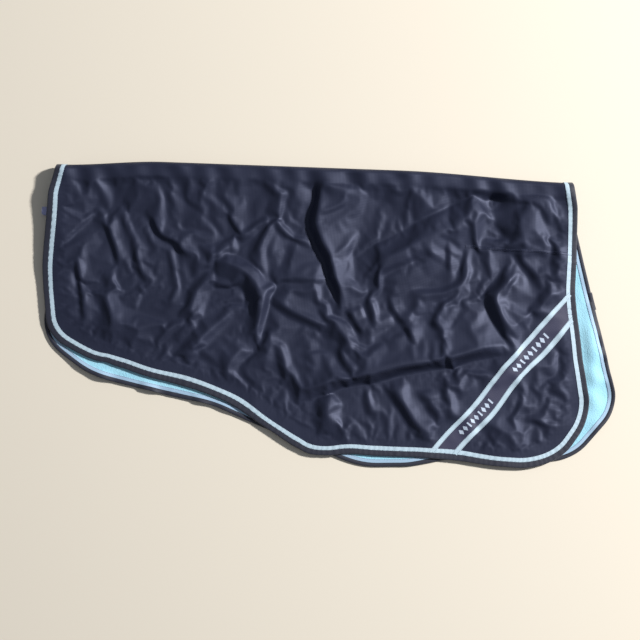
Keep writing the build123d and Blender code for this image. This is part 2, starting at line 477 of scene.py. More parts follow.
@dataclass(frozen=True)
class Creases:
    """The relief of the near half: drawn folds, short crumples, facets between them and a slow swell."""

    folds: list[Fold] = field(default_factory=lambda: FOLDS)
    spread: float = 2.0  # how much wider a fold's flanks are than its crest's width
    fade: float = 0.22  # share of a fold's length over which each end dies away
    trough: float = 0.55  # depth of the hollow at the foot of a steep flank, as a share of the fold's height
    crest: float = 0.1  # how round a crest is, as a share of the width
    toe: float = 2.5  # widths over which the hollow at the foot fades
    uneven: float = 0.6  # a fold has a hollow where one flank is narrower than this share of the other
    crumples: int = 170
    calm_density: float = 0.22  # how crumpled the cloth is away from the patches
    gentle_first: float = 0.3  # share of the crumples whose steep flank lies on the left
    ridges: float = 0.72  # share of the crumples that are ridges, the rest being furrows
    swell_height: float = 1.2  # mm
    seed: int = 83

    def density(self, behind: float, below: float) -> float:
        """How crumpled the cloth is at a place, from 0 to 1."""
        share = self.calm_density
        for patch in PATCHES:
            away = (behind - patch.behind) ** 2 + (below - patch.below) ** 2
            share = max(share, patch.density * math.exp(-away / (2 * patch.reach**2)))
        return share

    def scatter(self) -> list[Fold]:
        """Draws the short sharp crumples, each with a steep and a gentle flank."""
        draw = np.random.default_rng(self.seed)
        found = []
        while len(found) < self.crumples:
            x, d, wish = draw.uniform(10, 1300), draw.uniform(70, 690), draw.uniform(0, 1)
            turn, size = draw.normal(0, 0.5), draw.uniform(0, 1)
            lean, bend = draw.uniform(0, 1), draw.normal(0, 0.18)
            here = np.array([x]), np.array([d])
            if wish > self.density(x, d):
                continue
            # the crumples follow a grain that turns slowly over the cloth, and long ones are higher and wider
            grain = 1.0 + 0.7 * float(swell(*here, 420, 12)[0]) + turn
            length, height = 22 + 62 * size**1.5, (0.9 + 1.7 * size) * (1 if lean < self.ridges else -1)
            steep, gentle = 2.2 + 3.0 * size, 7 + 9 * size
            left, right = (gentle, steep) if lean > self.gentle_first else (steep, gentle)
            path = []
            for step in (-1.0, -0.35, 0.35, 1.0):
                aim = grain + bend * step
                reach = step * length / 2
                path.append((x + reach * math.cos(aim), d - reach * math.sin(aim)))
            found.append(Fold(tuple(path), height, left, right))
        return found

    def window(self, behind: Array, below: Array, line: Array, reach: float) -> tuple[slice, slice]:
        """Finds the part of the net that lies within reach of a line.

        Args:
            behind: the net's coordinates along the spine.
            below: the net's drop from the spine.
            line: the line's points, as rows.
            reach: how far from the line the part extends, in mm.

        Returns:
            The part's rows and columns.
        """
        corner, step = np.array((behind[0, 0], below[0, 0])), behind[0, 1] - behind[0, 0]
        first = np.clip(((line.min(0) - reach - corner) / step).astype(int), 0, None)
        last = np.clip(((line.max(0) + reach - corner) / step).astype(int) + 1, 0, None)
        return slice(first[1], last[1]), slice(first[0], last[0])

    @staticmethod
    def along_line(line: Array, x: Array, d: Array) -> tuple[Array, Array, Array]:
        """How points lie to a line, blended over the spans near them so that nothing jumps from span to span.

        Args:
            line: the line's points, as rows.
            x: the points' coordinates along the spine.
            d: the points' drop from the spine.

        Returns:
            The distance to the line, the side (-1 to 1) and the share of the line's length that is passed.
        """
        start, span = line[:-1], np.diff(line, axis=0)
        size, walked = np.hypot(*span.T), walk(line)
        nearest = np.full(x.shape, np.inf)
        seen = []
        for k in range(len(span)):
            ahead = (x - start[k, 0]) * span[k, 0] + (d - start[k, 1]) * span[k, 1]
            t = np.clip(ahead / size[k] ** 2, 0, 1)
            dx, dd = x - start[k, 0] - t * span[k, 0], d - start[k, 1] - t * span[k, 1]
            far = np.hypot(dx, dd)
            nearest = np.minimum(nearest, far)
            side = (span[k, 1] * dx - span[k, 0] * dd) / size[k]
            seen.append((far, side, (walked[k] + t * size[k]) / walked[-1]))
        blend = 0.12 * nearest + 1.0  # mm further than the nearest span that a span still counts
        firm = 1.25  # keeps the side whole where two spans meet at an angle
        weight, lean, along = np.zeros_like(x), np.zeros_like(x), np.zeros_like(x)
        for far, side, place in seen:
            w = np.exp(-(far - nearest) / blend)
            weight += w
            lean += w * np.clip(side / (far + 0.5), -1, 1)
            along += w * place
        return nearest, np.clip(firm * lean / weight, -1, 1), along / weight

    def ridge(self, behind: Array, below: Array, fold: Fold, total: Array) -> None:
        """Adds one fold's height to the net.

        Args:
            behind: the net's coordinates along the spine.
            below: the net's coordinates down from the spine.
            fold: the fold.
            total: the net's heights so far, in mm, which it adds to.
        """
        line = smooth_line(fold.path)
        left, right = fold.left * self.spread, fold.right * self.spread
        narrow, wide = min(left, right), max(left, right)
        window = self.window(behind, below, line, max(wide, 3.5 * narrow) + 6)
        away, side, share = self.along_line(line, behind[window], below[window])
        mix = 0.5 + 0.5 * side
        width = left**mix * right ** (1 - mix)
        away = np.hypot(away / width, self.crest) - self.crest
        steep_side = (1 - mix) if right < left else mix
        dip = self.trough * steep_side * (narrow < self.uneven * wide)
        foot = -dip * np.clip(1 - (away - 1) / self.toe, 0, None) ** 2
        flank = np.where(away < 1, 1 - (1 + dip) * away, foot)
        total[window] += fold.height * flank * ease(np.minimum(share, 1 - share) / self.fade)

    def relief(self, behind: Array, below: Array) -> Array:
        """The whole relief over the net, in mm, about zero on average."""
        height = np.zeros_like(behind)
        for fold in [*self.folds, *self.scatter()]:
            self.ridge(behind, below, fold, height)
        # the facets' nets are drawn a little crooked, and stronger where the cloth is busy
        x = behind + 4 * swell(behind, below, 130, 1)
        d = below + 4 * swell(behind, below, 130, 3)
        busy = 0.55 + 0.45 * np.clip(swell(behind, below, 330, 9), -1, 1)
        for layer in FACET_LAYERS:
            lie = facets(x, d, layer.cell, layer.seed, layer.turn, layer.stretch)
            height += layer.height * lie * (layer.least + layer.busy * busy)
        height += self.swell_height * swell(behind, below, 200, 31)
        return soften(height, 4)


def spread_out(values: Array, times: int) -> Array:
    """Fills the empty places of a net from their neighbours, and what is then left with zero.

    Args:
        values: one value for each point of the net, NaN where it is empty.
        times: how many points far the values are spread.

    Returns:
        The filled values.
    """
    for _ in range(times):
        padded = np.pad(values, 1, constant_values=np.nan)
        around = np.stack([padded[:-2, 1:-1], padded[2:, 1:-1], padded[1:-1, :-2], padded[1:-1, 2:]])
        known = np.isfinite(around)
        mean = np.where(known, around, 0).sum(0) / np.maximum(known.sum(0), 1)
        values = np.where(np.isfinite(values), values, np.where(known.any(0), mean, np.nan))
    return np.nan_to_num(values)


@dataclass(frozen=True)
class Settling:
    """A cloth simulation in which the near half, cut a little larger than its place, buckles and settles.

    The net starts with the relief of the creases. It is held at the fold, held lightly everywhere else so
    that the drawn folds stay, and it rests on the off half.
    """

    net: Raster = Raster(low=(-36.0, 27.0), high=(1332.0, 722.0), step=4.5)
    growth: float = 0.02  # share by which the cloth is larger than its place
    hold: float = 0.1  # how strongly each point is drawn back to where it started
    hem_hold: float = 0.5  # the same near the hem, where the binding and tapes stiffen it
    hem_width: float = 40.0
    weight: float = 0.1  # share of gravity, because the air under the cloth carries part of it
    frames: int = 14
    ground_step: float = 12.0  # mm between the points of the surface it rests on
    drift_blur: int = 60  # how far the slow sideways drift is evened out, so that the outline stays

    def run(self, heights: Array, ground: Array, rim: Array) -> tuple[Array, Array, Array]:
        """Runs the simulation.

        Args:
            heights: the near half's outer face at each point of the net, in mm.
            ground: the height of what lies under it, at the same points.
            rim: more than zero near the hem.

        Returns:
            How far each point of the net moves behind, below and up, in mm.
        """
        behind, below = self.net.points()
        outline = rounded(NEAR_CUT, self.net.step)
        inside = inside_of(np.stack([behind.ravel(), below.ravel()], -1), outline).reshape(behind.shape)
        number = np.full(behind.shape, -1)
        number[inside] = np.arange(inside.sum())
        start = np.stack([behind, -below, heights], -1)[inside] * MM
        piece = self.surface("settling_cloth", start, self.quads(number))
        top_rows = number[:2][number[:2] >= 0]
        group = piece.vertex_groups.new(name="held")
        for chosen, pull in ((rim[inside] == 0, self.hold), (rim[inside] > 0, self.hem_hold)):
            group.add(np.flatnonzero(chosen).tolist(), pull, "REPLACE")
        group.add([int(i) for i in top_rows], 1.0, "REPLACE")
        bed = np.stack([behind, -below, ground], -1).reshape(-1, 3) * MM
        every = np.arange(behind.size).reshape(behind.shape)
        bed_piece = self.surface("settling_bed", bed, self.quads(every))
        bed_piece.modifiers.new("bed", "COLLISION")
        bed_piece.collision.thickness_outer = 0.001
        bed_piece.collision.cloth_friction = 40.0
        moved = self.simulate(piece) / MM - start / MM
        for made in (piece, bed_piece):
            mesh = made.data
            bpy.data.objects.remove(made)
            bpy.data.meshes.remove(mesh)
        found = []
        for axis, sign in ((0, 1.0), (1, -1.0), (2, 1.0)):
            values = np.full(behind.shape, np.nan)
            values[inside] = moved[:, axis] * sign
            values = spread_out(values, 6)
            found.append(values if axis == 2 else values - soften(values, self.drift_blur))
        return found[0], found[1], found[2]

    def simulate(self, piece: Piece) -> Array:
        """Steps the cloth through its frames and returns its points, in metres."""
        cloth = piece.modifiers.new("settle", "CLOTH")
        settings = cloth.settings
        settings.vertex_group_mass = "held"
        settings.pin_stiffness = 1.0
        settings.quality = 5
        settings.mass = 0.1
        settings.tension_stiffness = settings.compression_stiffness = 40.0
        settings.shear_stiffness = 10.0
        settings.bending_stiffness = 5.0
        settings.bending_damping = 1.0
        settings.shrink_min = -self.growth
        settings.effector_weights.gravity = self.weight
        cloth.collision_settings.distance_min = 0.001
        cloth.point_cache.frame_start, cloth.point_cache.frame_end = 1, self.frames
        for frame_number in range(1, self.frames + 1):
            bpy.context.scene.frame_set(frame_number)
        settled = piece.evaluated_get(bpy.context.evaluated_depsgraph_get()).to_mesh()
        points = np.zeros(len(settled.vertices) * 3)
        settled.vertices.foreach_get("co", points)
        piece.modifiers.clear()
        bpy.context.scene.frame_set(1)
        return points.reshape(-1, 3)

    @staticmethod
    def quads(number: Array) -> list[tuple[int, ...]]:
        """The net's faces, without those that touch a point numbered -1."""
        corners = [number[:-1, :-1], number[1:, :-1], number[1:, 1:], number[:-1, 1:]]
        corners = np.stack(corners, -1).reshape(-1, 4)
        return [tuple(q) for q in corners[(corners >= 0).all(1)].tolist()]

    @staticmethod
    def surface(name: str, points: Array, faces: list[tuple[int, ...]]) -> Piece:
        """Makes a plain mesh object for the simulation only.

        Args:
            name: the object's name.
            points: its points in metres, as rows.
            faces: its faces.

        Returns:
            The object, linked to the scene.
        """
        mesh = bpy.data.meshes.new(name)
        mesh.from_pydata(points.tolist(), [], faces)
        mesh.update()
        piece = bpy.data.objects.new(name, mesh)
        bpy.context.scene.collection.objects.link(piece)
        return piece


@dataclass
class Cloth:
    """The folded rug as one smooth surface that every layer and trim is laid on."""

    fold_radius: float  # mm, of the roll at the spine
    crest: float  # mm, the crest of the fold along Y in the row frame
    front: float  # mm, the front end of the spine along X in the row frame
    arch_radius: float = 10400.0  # mm, of the near half's slow fall from the fold to the hem
    sink: float = 11.0  # mm that the near half lies lower than the arch between the fold and the hem
    least_height: float = 10.4  # mm, of the near half's outer face over the ground
    most_height: float = 41.0  # mm
    off_top: float = 5.2  # mm, over the ground, of the off half's uppermost layer
    layers: float = 4.9  # mm that the near half's own layers take up
    bend_end: float = 27.0  # mm in plan from the crest to where the creases start
    still: float = 36.0  # mm on each side of the crest that lie smooth, round the roll of the fold
    clear: float = 8.0  # mm on each side over which the layers under the shell keep below its lowest point
    bow: float = 16.0  # mm that the crest bows out between the withers and the croup
    rumple: float = 2.2  # mm, of the soft waves that run from the fold into the near half
    calm: float = 0.85  # how far the tapes and webbing smooth the small creases under them
    rim_width: float = 90.0  # mm from the hem over which the near half comes down onto the off half
    creases: Creases = field(default_factory=Creases)
    raster: Raster = field(default_factory=Raster)
    settling: Settling = field(default_factory=Settling)

    def __post_init__(self) -> None:
        """Draws the relief of both halves on the net and lets the near half settle."""
        behind, below = self.raster.points()
        inset = self.edge_distance(behind, below)
        self.off_relief = self.off_waves(behind, below)
        floor = np.maximum(self.off_top + self.off_relief + self.layers, self.least_height)
        rim = rise(below, 120, 260) * (1 - ease(inset / self.rim_width))
        base = self.arch(below) * (1 - rim) + (floor + 1.0) * rim
        relief = self.creases.relief(behind, below) * rise(below, self.bend_end, 34) * (1 - 0.6 * rim)
        start = self.limited(base, base + relief, floor, below)
        # the simulation has its own coarser net, so it gets a softened start, and only its moves come back
        net = self.settling.net
        places = net.points()
        moves = self.settling.run(
            self.raster.read(soften(start, 16), *places),
            self.raster.read(floor, *places) - 1.0,
            np.where(self.raster.read(inset, *places) < self.settling.hem_width, 1.0, 0.0),
        )
        freed = rise(below, self.bend_end + 1, 30)
        self.moves = [soften(net.read(move, behind, below), 2) * freed for move in moves]
        self.near_height = self.limited(base, start + self.moves[2], floor, below)
        # tapes and webbing are stiff, so the cloth under them lies calmer
        sewn = np.maximum(self.band_share(behind, below), 1 - rise(inset, 22, 20)) * self.calm
        calm_height = soften(self.near_height, 40)
        self.near_height += (calm_height - self.near_height) * sewn * rise(below, 40, 40)
        # under the shell the lining keeps clear of sharp creases, but not at the hem, where both are sewn
        hemmed = rise(inset, 14, 12)
        lowest = self.lowest_near(self.near_height)
        self.near_under = soften(lowest * hemmed + self.near_height * (1 - hemmed), 3)

    def off_waves(self, behind: Array, below: Array) -> Array:
        """The off half's relief: nearly flat, with waves where the near half bares its hem.

        Args:
            behind: the net's coordinates along the spine.
            below: the net's drop from the spine.

        Returns:
            The height at each point, in mm.
        """
        tail = rise(behind - 0.1 * (below - 270), 1266, 40) * rise(below, 200, 100)
        belly = rise(below - 0.256 * behind, 452, 30) * ease((520 - behind) / 120)
        waves = np.clip(2.0 + 2.6 * swell(behind, below, 70, 73), 0, 7.0) * np.maximum(tail, belly)
        return soften(np.clip(0.8 + 0.8 * swell(behind, below, 210, 71), 0, 2.0) + waves, 2)

    def arch(self, below: Array) -> Array:
        """The near half's height without creases, in mm: a slow fall from the fold, sunk in its middle."""
        run = np.clip(below - self.fold_radius, 0, None)
        arch = 2 * self.fold_radius - run**2 / (2 * self.arch_radius)
        return arch - self.sink * rise(below, 30, 150) * ease((660 - below) / 420)

    def lowest_near(self, height: Array) -> Array:
        """Finds the height that the layers under the shell keep below.

        Args:
            height: the shell's height at each point of the net, in mm.

        Returns:
            The lowest height within reach of each point, in mm.
        """
        under = height
        for _ in range(int(self.clear / self.raster.step)):
            for axis in (0, 1):
                under = np.minimum(under, np.minimum(np.roll(under, 1, axis), np.roll(under, -1, axis)))
        return under

    def limited(self, base: Array, height: Array, floor: Array, below: Array) -> Array:
        """Keeps a height between what the near half rests on and its highest level, with soft limits.

        Args:
            base: the height without creases, which holds in the smooth strip of the fold.
            height: the height with creases.
            floor: what the near half rests on.
            below: the net's drop from the spine.

        Returns:
            The limited height, in mm.
        """
        gap, soft = height - floor, 1.5
        settled = floor + (gap + np.sqrt(gap**2 + soft**2)) / 2 - soft / 2
        share = rise(below, self.bend_end, 20)
        found = base * (1 - share) + settled * share
        over = found - self.most_height
        return found - (over + np.sqrt(over**2 + 9)) / 2

    def band_share(self, behind: Array, below: Array) -> Array:
        """Finds the points under the diagonal band.

        Args:
            behind: the points' coordinates along the spine.
            below: the points' drop from the spine.

        Returns:
            1 on the band, 0 away from it.
        """
        low, high = np.array(BAND_LOW), np.array(BAND_HIGH)
        along = (high - low) / np.hypot(*(high - low))
        away = np.abs((behind - low[0]) * along[1] - (below - low[1]) * along[0])
        return 1 - rise(away, 32, 18)

    def edge_distance(self, behind: Array, below: Array) -> Array:
        """Measures how far points lie inside the near half's cut.

        Args:
            behind: the net's coordinates along the spine.
            below: the net's drop from the spine.

        Returns:
            The distance from the hem, front and tail edges in mm, up to the rim's width.
        """
        outline = rounded(NEAR_CUT, self.raster.step)
        outline = np.vstack([outline, [(0.0, -400.0), (1263.0, -400.0)]])  # the fold is no edge
        inside = inside_of(np.stack([behind.ravel(), below.ravel()], -1), outline).reshape(behind.shape)
        found = np.zeros(behind.shape)
        for _ in range(int(self.rim_width / self.raster.step)):
            found += inside
            for axis in (0, 1):
                inside = inside & np.roll(inside, 1, axis) & np.roll(inside, -1, axis)
        return found * self.raster.step

    @property
    def roll(self) -> float:
        """The length over the cloth from the crest to where the roll ends."""
        return self.fold_radius * math.pi / 2

    def across(self, below: Array) -> Array:
        """The distance over the cloth of a drop in plan."""
        share = np.clip(1 - below / self.fold_radius, 0, 1)
        rolled, flat = self.fold_radius * np.arccos(share), below - self.fold_radius + self.roll
        return np.where(below < self.fold_radius, rolled, flat)

    def below(self, across: Array) -> Array:
        """The drop in plan of a distance over the cloth."""
        far = np.abs(across)
        turn = np.minimum(far / self.fold_radius, math.pi / 2)
        rolled, flat = self.fold_radius * (1 - np.cos(turn)), far - self.roll + self.fold_radius
        return np.where(far < self.roll, rolled, flat)

    def place(self, behind: Array, across: Array, depth: Array | float = 0.0, lining: bool = False) -> Array:
        """Puts points of the lay into the row frame.

        Args:
            behind: along the spine, in mm.
            across: over the cloth from the crest, in mm.
            depth: how far inside the outer face, in mm.
            lining: True for a layer that stays clear below the shell's sharpest creases.

        Returns:
            Points in metres, as rows.
        """
        behind, across = np.asarray(behind, float), np.asarray(across, float)
        near = across >= 0
        side = np.where(near, 1, -1)
        far = np.abs(across)
        turn = np.minimum(far / self.fold_radius, math.pi / 2)
        below = self.below(across)
        height = np.where(
            near,
            self.raster.read(self.near_under if lining else self.near_height, behind, below),
            self.raster.read(self.off_relief, behind, below) * rise(below, self.bend_end, 60),
        )
        height = np.where(far < self.roll, self.fold_radius * (1 + side * np.sin(turn)), height)
        bow = self.bow * ease(behind / 260) * ease((1257 - behind) / 420) * ease((470 - below) / 470)
        sway_x, sway_d = self.sway(behind, below)
        wander = rise(below, self.bend_end, 90) * np.where(near, 1.0, 0.55)
        shift_x, shift_d = (np.where(near, self.raster.read(m, behind, below), 0.0) for m in self.moves[:2])
        waves = np.where(near, swell(behind, 0.5 * far, 62, 77), 0)
        depth = depth - self.rumple * waves * rise(far, 5, 22) * ease((120 - far) / 70)
        x = self.front + behind + sway_x * wander + shift_x
        y = self.crest - below + bow + sway_d * wander - shift_d - depth * np.cos(turn)
        z = height - side * depth * np.sin(turn)
        return np.stack([x, y, z], -1) * MM

    @staticmethod
    def sway(behind: Array, below: Array) -> tuple[Array, Array]:
        """How far the cloth has shifted sideways where it is bunched, in mm."""
        return 1.8 * swell(behind, below, 190, 41, 6), 1.8 * swell(behind, below, 170, 43, 6)


@dataclass
class Run:
    """A stretch of the rug's edge: its points in the lay and the inward direction at each."""

    points: Array
    inward: Array

    def offset(self, distance: float) -> Array:
        """The line that runs this far inside the edge, in mm."""
        return self.points + self.inward * distance


def rounded(corners: list[Corner], spacing: float) -> Array:
    """A panel's edge with its corners rounded by arcs.

    Args:
        corners: the panel's corners in order.
        spacing: the distance between points, in mm.

    Returns:
        (behind, below) points from the first corner to the last.
    """
    places = np.array([(c.behind, c.below) for c in corners], float)
    line = [places[0]]
    for before, here, after, corner in zip(places, places[1:], places[2:], corners[1:]):
        back, on = before - here, after - here
        back, on = back / np.hypot(*back), on / np.hypot(*on)
        half = math.acos(float(np.clip(back @ on, -1, 1))) / 2
        setback = corner.radius / math.tan(half)
        centre = here + (back + on) / np.hypot(*(back + on)) * corner.radius / math.sin(half)
        first, last = here + back * setback - centre, here + on * setback - centre
        sweep = math.atan2(first[0] * last[1] - first[1] * last[0], first @ last)
        steps = max(3, int(abs(sweep) * corner.radius / spacing))
        for angle in np.linspace(0, sweep, steps + 1):
            c, s = math.cos(angle), math.sin(angle)
            line.append(centre + np.array([first[0] * c - first[1] * s, first[0] * s + first[1] * c]))
    line.append(places[-1])
    return np.array(line)


def walk(line: Array) -> Array:
    """The distance along a line at each of its points."""
    return np.concatenate([[0], np.cumsum(np.hypot(*np.diff(line, axis=0).T))])


@dataclass
class Edge:
    """The cut edge of the whole rug as one closed line over both halves."""

    cloth: Cloth
    spacing: float = 3.6
    runs: dict[Part, Run] = field(default_factory=dict)

    def __post_init__(self) -> None:
        """Joins both cuts, splits the line where the fold's smooth strip ends, and finds its inward side."""
        near, off = rounded(NEAR_CUT, self.spacing), rounded(OFF_CUT, self.spacing)
        near = np.stack([near[:, 0], self.cloth.across(near[:, 1])], -1)
        off = np.stack([off[:, 0], -self.cloth.across(off[:, 1])], -1)[::-1]
        loop = np.vstack([near, off[1:]])
        walked = walk(loop)
        front = len(near) - 1
        stops = [
            self.stop(near[:, 1], walked),
            self.stop(near[::-1, 1], walked[front::-1]),
            self.stop(-off[:, 1], walked[front:]),
            self.stop(-off[::-1, 1], walked[::-1]),
        ]
        total = walked[-1]
        spans = {
            Part.NEAR: (stops[0], stops[1]),
            Part.FRONT_FOLD: (stops[1], stops[2]),
            Part.OFF: (stops[2], stops[3]),
            Part.TAIL_FOLD: (stops[3], stops[0] + total),
        }
        lines, counts = [], []
        for start, end in spans.values():
            steps = int(round((end - start) / self.spacing))
            at = np.linspace(start, end, steps + 1) % total
            lines.append(np.stack([np.interp(at, walked, loop[:, k]) for k in range(2)], -1)[:-1])
            counts.append(steps)
        closed = np.vstack(lines)
        ahead, back = np.roll(closed, -2, 0), np.roll(closed, 2, 0)
        tangent = ahead - back
        tangent /= np.hypot(*tangent.T)[:, None]
        inward = np.stack([-tangent[:, 1], tangent[:, 0]], -1)
        first = 0
        for part, steps in zip(spans, counts):
            index = np.arange(first, first + steps + 1) % len(closed)
            self.runs[part] = Run(closed[index], inward[index])
            first += steps

    def stop(self, across: Array, walked: Array) -> float:
        """Where, along an edge that leaves the crest of the fold, the smooth strip ends."""
        quarter = len(across) // 4
        return float(np.interp(self.cloth.still, across[:quarter], walked[:quarter]))


# ------------------------------------------------
# Meshes
# ------------------------------------------------
@dataclass
class Pattern:
    """A mesh in the making: its points in metres, its faces and where each point lies on the cloth."""

    points: Array
    faces: list[tuple[int, ...]]
    lay: Array  # metres, read by the materials as their UV map


UV_NAME = "lay"


def make_object(name: str, pattern: Pattern, finish: Material, crease: float = 50.0) -> Piece:
    """Makes a mesh object at the origin, smooth but for its sharp edges.

    Args:
        name: the piece's name.
        pattern: its points, faces and lay.
        finish: its material.
        crease: the angle past which an edge is sharp, in degrees.

    Returns:
        The object, linked to the scene.
    """
    mesh = bpy.data.meshes.new(name)
    mesh.from_pydata(pattern.points.tolist(), [], [list(map(int, f)) for f in pattern.faces])
    mesh.validate()
    layer = mesh.uv_layers.new(name=UV_NAME)
    corners = np.zeros(len(mesh.loops), np.int32)
    mesh.loops.foreach_get("vertex_index", corners)
    layer.data.foreach_set("uv", pattern.lay[corners].astype(np.float32).ravel())
    mesh.polygons.foreach_set("use_smooth", np.ones(len(mesh.polygons), bool))
    mesh.update()
    mesh.set_sharp_from_angle(angle=math.radians(crease))
    mesh.materials.append(finish)
    piece = bpy.data.objects.new(name, mesh)
    bpy.context.scene.collection.objects.link(piece)
    return piece


def join_patterns(patterns: list[Pattern]) -> Pattern:
    """Joins several patterns into one.

    Args:
        patterns: the patterns.

    Returns:
        One pattern with all their faces, renumbered.
    """
    shift, faces = 0, []
    for pattern in patterns:
        faces += [tuple(int(i) + shift for i in f) for f in pattern.faces]
        shift += len(pattern.points)
    return Pattern(np.vstack([p.points for p in patterns]), faces, np.vstack([p.lay for p in patterns]))


def net_faces(rows: int, columns: int) -> tuple[list[tuple[int, ...]], Array]:
    """The quads of a net and the indices round its rim.

    Args:
        rows: how many rows of points the net has.
        columns: how many columns.

    Returns:
        The faces, and the rim's point indices in order.
    """
    index = np.arange(rows * columns).reshape(rows, columns)
    quads = np.stack([index[:-1, :-1], index[1:, :-1], index[1:, 1:], index[:-1, 1:]], -1).reshape(-1, 4)
    rim = np.concatenate([index[0, :], index[1:, -1], index[-1, -2::-1], index[-2:0:-1, 0]])
    return [tuple(q) for q in quads.tolist()], rim


@dataclass
class Slab:
    """A layer of cloth: a net with a fine outer face and a coarser inner one, closed at its rim."""

    cloth: Cloth
    net: Array  # rows x columns x 2, in the lay
    outer: float
    inner: float
    lining: bool = False
    coarse: int = 1  # the inner face keeps every so many rows and columns, and lies clear of the outer one

    def pattern(self) -> Pattern:
        """Lays the net on the cloth at both depths and closes the rim, with all faces outwards."""
        rows, columns = self.net.shape[:2]
        thin = self.net[:: self.coarse, :: self.coarse]
        outer, outer_rim = net_faces(rows, columns)
        inner, inner_rim = net_faces(*thin.shape[:2])
        fine, rough = self.net.reshape(-1, 2), thin.reshape(-1, 2)
        top = self.cloth.place(fine[:, 0], fine[:, 1], self.outer, self.lining)
        bottom = self.cloth.place(rough[:, 0], rough[:, 1], self.inner, self.lining or self.coarse > 1)
        size, step = len(fine), self.coarse
        faces = outer + [tuple(i + size for i in q[::-1]) for q in inner]
        inner_rim = inner_rim + size
        for k, (here, there) in enumerate(zip(inner_rim, np.roll(inner_rim, -1))):
            reach = [outer_rim[(k * step + m) % len(outer_rim)] for m in range(step + 1)]
            faces.append((*reach, there, here))
        lay = np.vstack([fine, rough]) * MM
        return Pattern(np.vstack([top, bottom]), faces, lay)


def spread_evenly(stretch: Array, count: int) -> Array:
    """Spreads points evenly along a stretch of line.

    Args:
        stretch: the line's points, as rows.
        count: how many points are wanted.

    Returns:
        The new points, with both ends kept.
    """
    walked = walk(stretch)
    wanted = np.linspace(0, walked[-1], count)
    return np.stack([np.interp(wanted, walked, stretch[:, k]) for k in range(2)], -1)


def panel_net(
    run: Run, edge_in: float, still: float, corners: list[tuple[float, float]], size: tuple[int, int]
) -> Array:
    """A net over a half of the rug, from the smooth strip of the fold to the hem.

    Args:
        run: the half's edge, which starts and ends at the smooth strip.
        edge_in: how far inside the edge the net ends, in mm.
        still: the distance across of its first row, with the half's sign.
        corners: the hem's two corners, nearest the start and the end of the run, in the lay.
        size: how many rows and columns the net has.

    Returns:
        Rows of (behind, across) points, whose columns go from the front to the tail.
    """
    rows, columns = size
    line = run.offset(edge_in)
    line[0, 1] = line[-1, 1] = still
    if line[0, 0] > line[-1, 0]:
        line, corners = line[::-1], corners[::-1]
    first, second = (int(np.argmin(np.hypot(*(line - np.array(c)).T))) for c in corners)
    front = spread_evenly(line[: first + 1], rows)
    hem = spread_evenly(line[first : second + 1], columns)
    tail = spread_evenly(line[second:], rows)[::-1]
    u, v = np.linspace(0, 1, columns)[None, :, None], np.linspace(0, 1, rows)[:, None, None]
    top = front[0] * (1 - u[0]) + tail[0] * u[0]
    net = (1 - v) * top[None] + v * hem[None] + (1 - u) * front[:, None] + u * tail[:, None]
    blend = (1 - u) * (1 - v) * front[0] + u * (1 - v) * tail[0] + (1 - u) * v * front[-1] + u * v * tail[-1]
    return net - blend


@dataclass
class Strip:
    """A tape or binding along a run of the edge: its section is (inside the edge, depth) points, in mm."""

    cloth: Cloth
    section: list[tuple[float, float]]
    pucker: float = 0.0  # mm by which the stitching gathers the strip

    def pattern(self, run: Run) -> Pattern:
        """Sweeps the section along a run of the edge.

        Args:
            run: the stretch of edge.

        Returns:
            The strip, with closed ends.
        """
        count, turns = len(run.points), len(self.section)
        walked = walk(run.points)
        drift = 2.2 * np.sin(walked / 31.0) + 1.7 * np.sin(walked / 12.7 + 1.0)
        ripple = self.pucker * (0.5 + 0.5 * np.sin(2 * math.pi * walked / 13.0 + drift))
        girth = walk(np.array(self.section))
        points, lay = [], []
        for (inside, depth), around in zip(self.section, girth):
            line = run.offset(inside)
            outer = 1 if depth < 0 else 0
            points.append(self.cloth.place(line[:, 0], line[:, 1], depth - outer * ripple))
            lay.append(np.stack([walked, np.full(count, around)], -1) * MM)
        points, lay = np.stack(points, 1).reshape(-1, 3), np.stack(lay, 1).reshape(-1, 2)
        faces = []
        for i in range(count - 1):
            for j in range(turns):
                k = (j + 1) % turns
                faces.append((i * turns + j, i * turns + k, (i + 1) * turns + k, (i + 1) * turns + j))
        faces.append(tuple(range(turns))[::-1])
        faces.append(tuple((count - 1) * turns + j for j in range(turns)))
        return Pattern(points, faces, lay)


def faced_outwards(pattern: Pattern) -> Pattern:
    """Turns a closed pattern's faces outwards where its volume comes out negative.

    Args:
        pattern: the pattern, whose faces all turn the same way.

    Returns:
        The same pattern.
    """
    corners = np.array([(f[0], b, c) for f in pattern.faces for b, c in zip(f[1:], f[2:])])
    a, b, c = (pattern.points[corners[:, k]] for k in range(3))
    if np.einsum("ij,ij->", a, np.cross(b, c)) < 0:
        pattern.faces = [tuple(f)[::-1] for f in pattern.faces]
    return pattern


